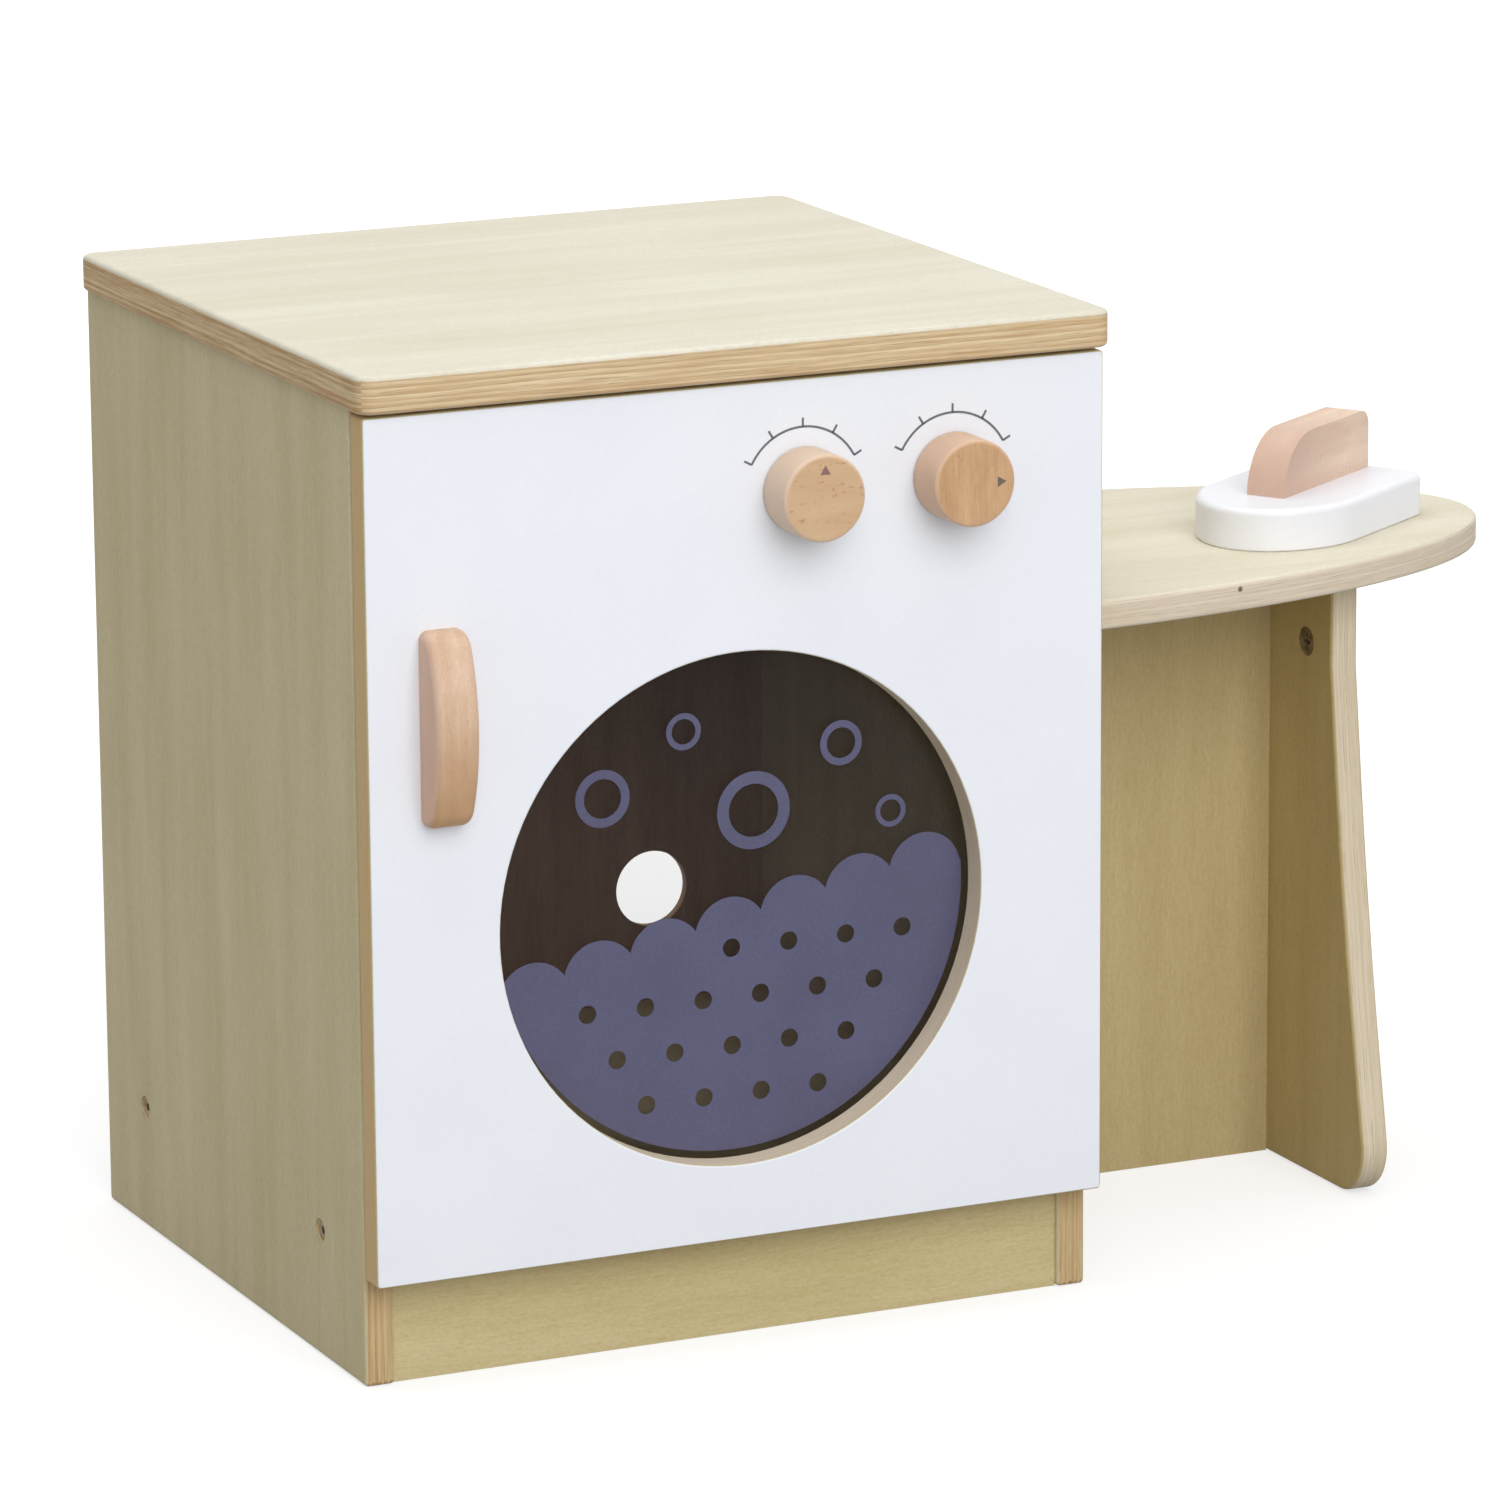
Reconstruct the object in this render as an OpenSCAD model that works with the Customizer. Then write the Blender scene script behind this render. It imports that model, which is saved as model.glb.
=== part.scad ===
// Toy washing machine in plywood and beech, with a fixed ironing board and a loose toy iron.
// The cabinet stands on its two side panels. The front is one white door with a round
// window, hinged on the right, and the two programme knobs spin on bolts through it.
// Places are written from the cabinet's centre line, half its depth and the floor.

/* [Cabinet] */
// Width over the two side panels
cabinet_w = 380; // [350:1:420]
// Depth of the side panels
cabinet_d = 346; // [300:1:390]
// Height of the side panels
side_h = 470; // [450:1:520]
// Thickness of the plywood panels
panel_t = 15; // [14:0.5:18]
// Thickness of the top panel
top_t = 18; // [16:0.5:22]
// Overhang of the top panel at its sides and back
top_overhang = 3; // [2:0.5:6]
// How far the top panel stands out past the door
top_lip = 5; // [3:0.5:12]
// Corner radius of the top panel seen from above
top_corner_r = 9; // [5:0.5:14]
// Eased edge of the top panel
top_ease = 2.5; // [1:0.25:4]
// Height of the kick board, which carries the bottom shelf
kick_h = 55; // [50:1:70]
// How far the kick board stands back from the side panels' front edges
kick_recess = 3; // [1:0.5:8]
// Thickness of the back panel
back_t = 5; // [4:0.5:6]
// Width of the rebate that holds the back panel
rebate_w = 8; // [6:0.5:9]
// Diameter of the round opening in the back panel
vent_d = 40; // [30:1:60]
// Distance of that opening's axis from the cabinet's right face
vent_inset = 79; // [50:1:110]
// Height of that opening above the floor
vent_z = 130; // [110:1:160]

/* [Door] */
// Thickness of the door
door_t = 15; // [14:0.5:18]
// Eased edge of the door
door_ease = 1; // [0.4:0.1:1.6]
// Gap between the door and the side panels, which the hinge leaves fill
door_gap = 2; // [1.8:0.1:2.6]
// Height of the door's bottom edge above the floor
door_bottom = 53; // [48:0.5:58]
// Gap between the door and the top panel
door_top_gap = 2; // [1.5:0.5:4]
// Diameter of the window opening
window_d = 250; // [200:1:260]
// Height of the door left below the window opening
window_rim = 37; // [32:1:50]
// Thickness of the acrylic pane
pane_t = 3; // [2:0.5:4]
// How far the pane laps over the door round the opening
pane_lap = 12; // [10:0.5:14]
// Thickness of the printed film on the pane
film_t = 0.3; // [0.2:0.05:0.5]
// Clear border between the film and the edge of the opening
film_border = 3.5; // [2:0.5:6]

/* [Handle] */
// Height of the door handle
handle_h = 93; // [80:1:120]
// Width of the door handle
handle_w = 22; // [18:0.5:28]
// How far the middle of the handle stands out from the door
handle_proud = 22; // [18:0.5:28]
// How far the ends of the handle stand out from the door
handle_end = 11; // [8:0.5:14]
// Radius that the ends of the handle are rounded with
handle_end_r = 12; // [8:0.5:14]
// Distance from the door's left edge to the middle of the handle
handle_inset = 37; // [30:0.5:40]
// Distance of the handle's middle below the door's top edge
handle_drop = 148; // [120:1:170]

/* [Knobs] */
// Diameter of the knobs
knob_d = 42; // [36:0.5:50]
// Length of the knobs
knob_l = 24; // [20:0.5:30]
// Rounded front edge of the knobs
knob_edge_r = 2; // [1:0.25:4]
// Distance between the two knobs
knob_pitch = 78; // [64:1:90]
// Distance from the door's right edge to the axis of the right knob
knob_inset = 80; // [60:1:90]
// Distance of the knobs' axes below the door's top edge
knob_drop = 53; // [43:1:63]
// Diameter of the knob bolt
bolt_d = 5; // [4:0.5:6]

/* [Side table] */
// Length of the ironing board from the side panel to its tip
board_l = 305; // [260:1:340]
// Width of the ironing board where it meets the cabinet
board_w = 260; // [220:1:300]
// Height of the ironing board's top face
board_top = 331; // [310:1:350]
// Distance from the side panel to the leg
spine_l = 190; // [170:1:220]
// Width of the leg at its top
leg_top_w = 144; // [120:1:160]
// Width of the leg near the floor
leg_foot_w = 220; // [190:1:240]
// Corner radius of the leg at the floor
leg_corner_r = 25; // [15:1:35]
// Height of the straight part of the leg below the board
leg_straight_h = 46; // [40:1:60]
// How far the leg's sloping sides are drawn in at their middle
leg_waist = 3; // [0:0.5:6]

/* [Iron] */
// Length of the iron's body
iron_l = 132; // [110:1:150]
// Width of the iron's body
iron_w = 84; // [76:1:96]
// Thickness of the iron's body
iron_t = 21.5; // [16:0.5:24]
// Radius of the arcs that draw in the nose of the iron
iron_side_r = 56; // [56:1:90]
// Radius of the nose of the iron
iron_nose_r = 34; // [22:1:36]
// Corner radius of the heel of the iron
iron_heel_r = 12; // [6:0.5:16]
// Length of the iron's handle
grip_l = 93; // [76:1:98]
// Height of the iron's handle
grip_h = 30.5; // [28:0.5:40]
// Width of the iron's handle
grip_w = 21; // [18:0.5:26]
// Distance from the heel to the back of the handle
grip_inset = 6; // [4:0.5:12]
// Corner radius at the heel end of the handle
grip_heel_r = 8; // [3:0.5:10]
// Distance of the iron's heel line from the side panel along the board
iron_x = 253; // [230:1:258]
// Distance of the iron's heel from the middle of the board
iron_y = 19; // [0:1:22]
// Turn of the iron on the board
iron_turn = 34; // [20:1:40]

/* [Hardware] */
// Length of a hinge
hinge_l = 50; // [44:1:60]
// Width of a hinge leaf on the wood
hinge_leaf_w = 13; // [12:0.5:13.5]
// Diameter of the hinge knuckle
knuckle_d = 5; // [4.4:0.2:6]
// Diameter of the hinge pin
hinge_pin_d = 2.4; // [2:0.1:2.8]
// Distance of a hinge's middle from the end of the door
hinge_inset = 65; // [50:1:90]
// Diameter of a cam lock
cam_d = 15; // [12:0.5:16]
// Depth of a cam lock
cam_l = 12.5; // [11:0.5:12.5]
// Distance of the top cam locks below the top panel
cam_drop = 34; // [30:1:38]
// Distance of the leg's cam locks below the ironing board
leg_cam_drop = 38; // [32:1:40]
// Length of a long panel screw
panel_screw_l = 50; // [45:1:55]
// Diameter of the recess round a long panel screw
panel_screw_recess_d = 12; // [11:0.5:14]

/* [Hidden] */

// Clearances
run_gap = 0.05;
axial_gap = 0.1;
bore_end_gap = 0.5;
cut = 0.5;
lap = 1;

// Colours as the photograph shows them
ply = "#d9c79a";
ply_top = "#ece3c8";
beech = "#cfa57a";
white_paint = "#e9edf6";
steel = "#b9bcc0";
brass = "#c9a24a";
zinc = "#9a9ca0";
smoke = "#4a403c";
print_violet = "#5d5b73";
felt = "#57504a";
cream = "#e8e2d2";

// Cabinet lines
half_w = cabinet_w / 2;
inner_w = cabinet_w - 2 * panel_t;
inner_half = inner_w / 2;
front_y = -cabinet_d / 2;
back_y = cabinet_d / 2;
side_mid = half_w - panel_t / 2;
back_front_y = back_y - back_t;
shelf_top = kick_h + panel_t;
shelf_mid_z = kick_h + panel_t / 2;
vent_x = half_w - vent_inset;

// Door lines
door_back_y = front_y - door_gap;
door_front_y = door_back_y - door_t;
door_top = side_h - door_top_gap;
door_h = door_top - door_bottom;
door_mid_z = (door_top + door_bottom) / 2;
top_front_y = door_front_y - top_lip;
top_back_y = back_y + top_overhang;
window_r = window_d / 2;
pane_r = window_r + pane_lap;
film_r = window_r - film_border;
window_z = door_bottom + window_rim + window_r;
handle_z = door_top - handle_drop;

// Knob lines
knob_xs = [half_w - knob_inset - knob_pitch, half_w - knob_inset];
knob_z = door_top - knob_drop;
spacer_t = 0.9;
spacer_d = 14;
washer_t = 1.2;
washer_d = 15;
bolt_head_d = 9.5;
bolt_head_h = 2.8;
bolt_key_d = 3.2;
bolt_key_l = 2;
knob_back_ease = 0.6;
insert_d = 8;
insert_l = 12;
knob_back_y = door_front_y - axial_gap - spacer_t;
knob_front_y = knob_back_y - knob_l;
bolt_seat_y = door_back_y + axial_gap + washer_t;

// Side table lines
board_bottom = board_top - panel_t;
board_mid_z = board_top - panel_t / 2;
leg_x = half_w + spine_l;
leg_outer_x = leg_x + panel_t;

// The part's own origin is on the floor, in the middle of its overall box
box_left = -half_w - top_overhang;
box_right = half_w + board_l;
cab_x = -(box_left + box_right) / 2;
cab_y = -(knob_front_y + top_back_y) / 2;

// Hinge lines
leaf_t = (door_gap - axial_gap) / 2;
knuckle_r = knuckle_d / 2;
knuckle_clear = 0.3;
hinge_x = half_w + knuckle_r + knuckle_clear;
hinge_y = front_y - door_gap / 2;
hinge_zs = [door_bottom + hinge_inset, door_top - hinge_inset];
knuckle_gap = 0.2;
pin_head_h = 1;
knuckle_end_h = hinge_l * 0.3;
hinge_screw_x = half_w - hinge_leaf_w / 2;
hinge_screw_dz = 16;
hinge_screw_d = 3;
hinge_screw_head_d = 5.4;
hinge_screw_l = 12;

// Cam lock lines
cam_inset = 63;
cam_ys = [front_y + cam_inset, back_y - cam_inset];
cam_bore_l = cam_l + bore_end_gap;
cam_key_w = 8;
cam_key_l = 2.5;
cam_head_ahead = 0.5;
cam_bolt_d = 7;
cam_bolt_head_d = 6.4;
cam_bolt_neck_d = 4;
cam_bolt_thread_d = 6;
cam_bolt_thread_l = 11;
cam_head_l = 3;
leg_cam_inset = 26;
leg_cam_ys = [-leg_top_w / 2 + leg_cam_inset, leg_top_w / 2 - leg_cam_inset];

// Other fixings
dowel_d = 8;
dowel_l = 30;
dowel_inset = 101;
dowel_ys = [front_y + dowel_inset, back_y - dowel_inset];
dowel_up = 12;
shelf_screw_inset = 55;
shelf_screw_ys = [front_y + shelf_screw_inset, back_y - shelf_screw_inset];
panel_shank_d = 7;
panel_thread_d = 5;
panel_head_d = 10;
panel_head_sink = 1.5;
panel_head_rim = 1;
panel_key_d = 4.6;
panel_key_l = 2;
wood_screw_d = 4;
wood_screw_head_d = 8;
small_screw_d = 3;
small_hole_gap = 0.2;
pan_head_d = 5.6;
pan_head_h = 2;
tip_room = 1;
pane_screw_r = window_r + pane_lap / 2;
pane_screw_n = 6;
pane_screw_l = 13;
board_screw_inset = 50;
board_screw_ys = [-board_w / 2 + board_screw_inset, board_w / 2 - board_screw_inset];
spine_screw_low = 120;
spine_screw_drop = 56;
spine_screw_zs = [spine_screw_low, board_bottom - spine_screw_drop];
leg_screw_low = 70;
leg_screw_drop = 86;
leg_screw_zs = [leg_screw_low, board_bottom - leg_screw_drop];
handle_screw_dz = 30;
handle_screw_l = 27;
grip_screw_l = 38;
grip_screw_back = 16;
grip_screw_nose = 26;
grip_screw_xs = [grip_inset + grip_screw_back, grip_inset + grip_l - grip_screw_nose];
kick_screw_inset = 75;
kick_screw_xs = [-inner_half + kick_screw_inset, inner_half - kick_screw_inset];
kick_screw_l = 40;
back_screw_low = 120;
back_screw_drop = 50;
back_screw_high = side_h - back_screw_drop;
back_screw_zs = [back_screw_low, (back_screw_low + back_screw_high) / 2, back_screw_high];
back_screw_l = 16;
catch_screw_l = 13;
strike_screw_l = 10;
wood_edge_r = 2.5;

// Magnet catch lines
catch_inset = 55;
catch_x = -inner_half + catch_inset;
catch_w = 44;
catch_d = 15;
catch_h = 13;
catch_ear_h = 3;
catch_core_w = 22;
catch_back = 3;
catch_lead = 1;
catch_screw_dx = 16;
magnet_w = 16;
magnet_h = 8;
strike_w = 38;
strike_h = 9;
strike_t = 1;
strike_screw_dx = 14.5;
strike_z = side_h - (catch_ear_h + catch_h) / 2;
magnet_front_y = door_back_y + strike_t + axial_gap;
catch_front_y = magnet_front_y + catch_lead;
bumper_d = 9;
bumper_inset = 30;
bumper_zs = [door_bottom + bumper_inset, door_top - bumper_inset];

// Lines of the printed film: scalloped suds, drum holes in staggered rows below and rings above
suds_mid = -16;
suds_rise = 0.2;
suds_r = 19;
suds_pitch = 34;
suds_side_n = 3;
drum_hole_r = 4.5;
drum_hole_pitch = 30;
drum_hole_top = -22;
drum_row_pitch = 24;
drum_row_n = 4;
drum_hole_clear = 14;
print_rings = [[-66, 58, 14], [-24, 86, 9], [12, 44, 19], [58, 72, 11], [84, 36, 8]];
ring_wall = 0.32;

$fn = 96;

// Places the cabinet's own lines in the part's frame
module at_cabinet() {
  translate([cab_x, cab_y, 0]) children();
}

// Plate of size w by d by t, centred in plan, with round corners r and eased edges e
module eased_slab(w, d, t, r, e) {
  union() {
    translate([-(w / 2 - r), 0, 0]) rotate([90, 0, 90]) linear_extrude(w - 2 * r) eased_rect(d, t, e);
    translate([0, d / 2 - r, 0]) rotate([90, 0, 0]) linear_extrude(d - 2 * r) eased_rect(w, t, e);
    for (sx = [-1, 1]) {
      for (sy = [-1, 1]) {
        translate([sx * (w / 2 - r), sy * (d / 2 - r), 0])
          rotate_extrude() polygon([[0, 0], [r - e, 0], [r, e], [r, t - e], [r - e, t], [0, t]]);
      }
    }
  }
}

// Rectangle w by t standing on the axis, with its four corners cut by e
module eased_rect(w, t, e) {
  h = w / 2;
  polygon([[-h + e, 0], [h - e, 0], [h, e], [h, t - e], [h - e, t], [-h + e, t], [-h, t - e], [-h, e]]);
}

// Countersunk screw whose head is flush at z = 0 and whose point looks along +Z
module flat_screw(len, d, head_d, gap) {
  head_h = (head_d - d) / 2;
  difference() {
    union() {
      cylinder(h = head_h, r1 = head_d / 2 + gap, r2 = d / 2 + gap);
      cylinder(h = len, r = d / 2 + gap);
    }
    if (gap == 0) {
      cross_recess(head_d * 0.5, head_h * 0.7);
    }
  }
}

// Countersunk screw that holds two pieces of wood, and the room for it
module wood_screw(len) {
  flat_screw(len, wood_screw_d, wood_screw_head_d, 0);
}

module wood_screw_room(len) {
  flat_screw(len + tip_room, wood_screw_d, wood_screw_head_d, run_gap);
}

// Small pan-head screw seated at z = 0 whose point looks along +Z
module pan_screw(len) {
  difference() {
    union() {
      translate([0, 0, -pan_head_h]) cylinder(h = pan_head_h, d = pan_head_d);
      cylinder(h = len, d = small_screw_d);
    }
    translate([0, 0, -pan_head_h]) cross_recess(pan_head_d * 0.6, pan_head_h * 0.6);
  }
}

// Pilot hole for a small screw, with room past its point
module small_screw_room(len) {
  cylinder(h = len + bore_end_gap, r = small_screw_d / 2 + run_gap);
}

// Clearance hole through a thin plate of thickness t that a small screw holds
module small_screw_hole(t) {
  translate([0, 0, -cut]) cylinder(h = t + 2 * cut, r = small_screw_d / 2 + small_hole_gap);
}

// Cross recess cut into a screw head or a cam
module cross_recess(w, h) {
  slot = w * 0.25;
  translate([-w / 2, -slot / 2, -cut]) cube([w, slot, h + cut]);
  translate([-slot / 2, -w / 2, -cut]) cube([slot, w, h + cut]);
}

// Long panel screw: sunk head at z = panel_head_sink, thick shank through one panel, thinner thread
module panel_screw() {
  cone_z = panel_head_sink + panel_head_rim;
  cone_h = (panel_head_d - panel_shank_d) / 2;
  difference() {
    union() {
      translate([0, 0, panel_head_sink]) cylinder(h = panel_head_rim, d = panel_head_d);
      translate([0, 0, cone_z]) cylinder(h = cone_h, d1 = panel_head_d, d2 = panel_shank_d);
      translate([0, 0, cone_z]) cylinder(h = panel_t, d = panel_shank_d);
      translate([0, 0, cone_z]) cylinder(h = panel_screw_l - panel_head_rim, d = panel_thread_d);
    }
    translate([0, 0, panel_head_sink - cut]) cylinder(h = panel_key_l + cut, d = panel_key_d, $fn = 6);
  }
}

// Room for a long panel screw, with the recess round its head
module panel_screw_room() {
  cone_z = panel_head_sink + panel_head_rim;
  cone_h = (panel_head_d - panel_shank_d) / 2;
  translate([0, 0, -cut]) cylinder(h = cut + panel_head_sink, d = panel_screw_recess_d);
  cylinder(h = cone_z, r = panel_head_d / 2 + run_gap);
  translate([0, 0, cone_z])
    cylinder(h = cone_h, r1 = panel_head_d / 2 + run_gap, r2 = panel_shank_d / 2 + run_gap);
  cylinder(h = cone_z + panel_t + run_gap, r = panel_shank_d / 2 + run_gap);
  cylinder(h = panel_head_sink + panel_screw_l + tip_room, r = panel_thread_d / 2 + run_gap);
}

// Cam lock with its outer face at z = 0, its body along +Z and its bolt arriving along +X
module cam_lock() {
  difference() {
    cylinder(h = cam_l, d = cam_d);
    cross_recess(cam_key_w, cam_key_l);
    translate([0, 0, panel_t / 2]) rotate([0, 90, 0]) cylinder(h = cam_d, r = cam_bolt_d / 2 + run_gap);
  }
}

// Cam bolt along +Z: its head is in the cam at z = 0 and it enters the other panel at z = drop
module cam_bolt(drop) {
  translate([0, 0, cam_head_ahead]) cylinder(h = cam_head_l, d = cam_bolt_head_d);
  cylinder(h = drop, d = cam_bolt_neck_d);
  translate([0, 0, cam_d / 2 + bore_end_gap]) cylinder(h = drop - cam_d / 2 - bore_end_gap, d = cam_bolt_d);
  translate([0, 0, drop - cut]) cylinder(h = cam_bolt_thread_l + cut, d = cam_bolt_thread_d);
}

// Room for a cam bolt: a long hole in the carrying panel and a blind one in the other
module cam_bolt_room(drop) {
  cylinder(h = drop + cut, r = cam_bolt_d / 2 + run_gap);
  translate([0, 0, drop - cut])
    cylinder(h = cam_bolt_thread_l + cut + bore_end_gap, r = cam_bolt_thread_d / 2 + run_gap);
}

// Repeats its children at both top cam locks of the side panel on side s
module at_top_cams(s) {
  for (y = cam_ys) {
    translate([s * side_mid, y, side_h - cam_drop]) children();
  }
}

// Turns a cam so that its face is flush with the inner face of the panel on side s
module cam_in_side(s) {
  translate([-s * panel_t / 2, 0, 0]) rotate([0, s * 90, 0]) children();
}

// Repeats its children where the dowels stand in the side panel on side s
module at_top_dowels(s) {
  for (y = dowel_ys) {
    translate([s * side_mid, y, side_h + dowel_up - dowel_l]) children();
  }
}

// Repeats its children at the shelf screws, which enter through the side panel on side s
module at_shelf_screws(s) {
  for (y = shelf_screw_ys) {
    translate([s * half_w, y, shelf_mid_z]) rotate([0, -s * 90, 0]) children();
  }
}

module at_board_screws() {
  for (y = board_screw_ys) {
    translate([inner_half, y, board_mid_z]) rotate([0, 90, 0]) children();
  }
}

module at_spine_screws() {
  for (z = spine_screw_zs) {
    translate([inner_half, 0, z]) rotate([0, 90, 0]) children();
  }
}

module at_leg_screws() {
  for (z = leg_screw_zs) {
    translate([leg_outer_x, 0, z]) rotate([0, -90, 0]) children();
  }
}

module at_leg_cams() {
  for (y = leg_cam_ys) {
    translate([leg_x + panel_t / 2, y, board_bottom - leg_cam_drop]) children();
  }
}

module at_kick_screws() {
  for (x = kick_screw_xs) {
    translate([x, front_y + kick_recess + panel_t / 2, shelf_top]) rotate([180, 0, 0]) children();
  }
}

// Repeats its children at the back panel's screws, seated on its rear face and looking forward
module at_back_screws() {
  for (z = back_screw_zs) {
    for (s = [-1, 1]) {
      translate([s * (inner_half + rebate_w / 2), back_y, z]) rotate([90, 0, 0]) children();
    }
  }
  for (s = [-1, 1]) {
    translate([s * inner_half / 2, back_y, shelf_mid_z]) rotate([90, 0, 0]) children();
  }
}

module at_pane_screws() {
  for (i = [0 : pane_screw_n - 1]) {
    a = (i + 0.5) * 360 / pane_screw_n;
    translate([pane_screw_r * cos(a), door_back_y + pane_t, window_z + pane_screw_r * sin(a)])
      rotate([90, 0, 0]) children();
  }
}

module at_handle_screws() {
  for (s = [-1, 1]) {
    translate([-half_w + handle_inset, door_back_y, handle_z + s * handle_screw_dz])
      rotate([90, 0, 0]) children();
  }
}

// Repeats its children at each hinge screw of the leaf whose wood lies on side s of the gap
module at_hinge_screws(s) {
  for (z = hinge_zs) {
    for (k = [-1, 1]) {
      translate([hinge_screw_x, hinge_y + s * axial_gap / 2, z + k * hinge_screw_dz])
        rotate([-s * 90, 0, 0]) children();
    }
  }
}

module at_catch_screws() {
  for (s = [-1, 1]) {
    translate([catch_x + s * catch_screw_dx, catch_front_y + catch_d / 2, side_h - catch_ear_h]) children();
  }
}

module at_strike_screws() {
  for (s = [-1, 1]) {
    translate([catch_x + s * strike_screw_dx, door_back_y + strike_t, strike_z])
      rotate([90, 0, 0]) children();
  }
}

// Side panel on side s, where -1 is the left one
module side_panel(s) {
  difference() {
    translate([s > 0 ? inner_half : -half_w, front_y, 0]) cube([panel_t, cabinet_d, side_h]);
    translate([s > 0 ? inner_half - cut : -inner_half - rebate_w, back_front_y, kick_h])
      cube([rebate_w + cut, back_t + cut, side_h]);
    at_top_cams(s) {
      cam_bolt_room(cam_drop);
      cam_in_side(s) translate([0, 0, -cut]) cylinder(h = cam_bore_l + cut, r = cam_d / 2 + run_gap);
    }
    at_top_dowels(s) translate([0, 0, -bore_end_gap]) cylinder(h = dowel_l, r = dowel_d / 2 + run_gap);
    at_shelf_screws(s) panel_screw_room();
    at_back_screws() small_screw_room(back_screw_l);
    if (s > 0) {
      at_board_screws() panel_screw_room();
      at_spine_screws() panel_screw_room();
      at_hinge_screws(1) flat_screw(hinge_screw_l + tip_room, hinge_screw_d, hinge_screw_head_d, run_gap);
    }
  }
}

module left_side() {
  color(ply) at_cabinet() side_panel(-1);
}

module right_side() {
  color(ply) at_cabinet() side_panel(1);
}

module top_panel() {
  w = cabinet_w + 2 * top_overhang;
  d = top_back_y - top_front_y;
  color(ply_top) at_cabinet() difference() {
    translate([0, (top_back_y + top_front_y) / 2, side_h]) eased_slab(w, d, top_t, top_corner_r, top_ease);
    for (s = [-1, 1]) {
      at_top_cams(s) cam_bolt_room(cam_drop);
      at_top_dowels(s) cylinder(h = dowel_l + bore_end_gap, r = dowel_d / 2 + run_gap);
    }
    at_catch_screws() small_screw_room(catch_screw_l);
  }
}

module bottom_shelf() {
  color(ply) at_cabinet() difference() {
    translate([-inner_half, front_y, kick_h]) cube([inner_w, cabinet_d - back_t, panel_t]);
    for (s = [-1, 1]) {
      at_shelf_screws(s) panel_screw_room();
    }
    at_kick_screws() wood_screw_room(kick_screw_l);
    at_back_screws() small_screw_room(back_screw_l);
  }
}

module kick_board() {
  color(ply) at_cabinet() difference() {
    translate([-inner_half, front_y + kick_recess, 0]) cube([inner_w, panel_t, kick_h]);
    at_kick_screws() wood_screw_room(kick_screw_l);
  }
}

module back_panel() {
  w = inner_w + 2 * (rebate_w - axial_gap);
  color(ply) at_cabinet() difference() {
    translate([-w / 2, back_front_y, kick_h]) cube([w, back_t, side_h - kick_h]);
    translate([vent_x, back_y + cut, vent_z]) rotate([90, 0, 0]) cylinder(h = back_t + 2 * cut, d = vent_d);
    at_back_screws() small_screw_room(back_screw_l);
  }
}

module back_screws() {
  color(steel) at_cabinet() at_back_screws() pan_screw(back_screw_l);
}

module top_cams() {
  color(zinc) at_cabinet() for (s = [-1, 1]) {
    at_top_cams(s) cam_in_side(s) rotate([0, 0, s > 0 ? 180 : 0]) cam_lock();
  }
}

module top_cam_bolts() {
  color(steel) at_cabinet() for (s = [-1, 1]) {
    at_top_cams(s) cam_bolt(cam_drop);
  }
}

module top_dowels() {
  color(beech) at_cabinet() for (s = [-1, 1]) {
    at_top_dowels(s) cylinder(h = dowel_l, d = dowel_d);
  }
}

module shelf_screws() {
  color(zinc) at_cabinet() for (s = [-1, 1]) {
    at_shelf_screws(s) panel_screw();
  }
}

module kick_screws() {
  color(steel) at_cabinet() at_kick_screws() wood_screw(kick_screw_l);
}

module door_panel() {
  color(white_paint) at_cabinet() difference() {
    translate([0, door_back_y, door_mid_z]) rotate([90, 0, 0])
      eased_slab(cabinet_w, door_h, door_t, 2 * door_ease, door_ease);
    translate([0, door_back_y + cut, window_z]) rotate([90, 0, 0])
      cylinder(h = door_t + 2 * cut, d = window_d, $fn = 180);
    for (x = knob_xs) {
      translate([x, door_back_y + cut, knob_z]) rotate([90, 0, 0])
        cylinder(h = door_t + 2 * cut, r = bolt_d / 2 + run_gap);
    }
    at_handle_screws() wood_screw_room(handle_screw_l);
    at_pane_screws() small_screw_room(pane_screw_l);
    at_hinge_screws(-1) flat_screw(hinge_screw_l + tip_room, hinge_screw_d, hinge_screw_head_d, run_gap);
    at_strike_screws() small_screw_room(strike_screw_l);
  }
}

module window_pane() {
  color(smoke) at_cabinet() difference() {
    translate([0, door_back_y + pane_t, window_z]) rotate([90, 0, 0])
      cylinder(h = pane_t, r = pane_r, $fn = 180);
    at_pane_screws() small_screw_hole(pane_t);
  }
}

// Height on the film of the line on which the scallops' centres lie, at the sideways place x
function suds_z(x) = suds_mid + suds_rise * x;

// The suds: everything below a row of scallops, inside the film's disc
module film_suds() {
  reach = film_r + lap;
  intersection() {
    circle(r = film_r, $fn = 180);
    union() {
      polygon([[-reach, -reach], [-reach, suds_z(-reach)], [reach, suds_z(reach)], [reach, -reach]]);
      for (i = [-suds_side_n : suds_side_n]) {
        translate([i * suds_pitch, suds_z(i * suds_pitch)]) circle(r = suds_r);
      }
    }
  }
}

// The drum holes: staggered rows that stay clear of the film's edge and of the scallops
module film_drum_holes() {
  side_n = ceil(film_r / drum_hole_pitch);
  for (row = [0 : drum_row_n - 1]) {
    for (i = [-side_n : side_n]) {
      x = (i + row % 2 / 2) * drum_hole_pitch;
      z = drum_hole_top - row * drum_row_pitch;
      if (norm([x, z]) < film_r - drum_hole_clear && z < suds_z(x)) {
        translate([x, z]) circle(r = drum_hole_r);
      }
    }
  }
}

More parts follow.
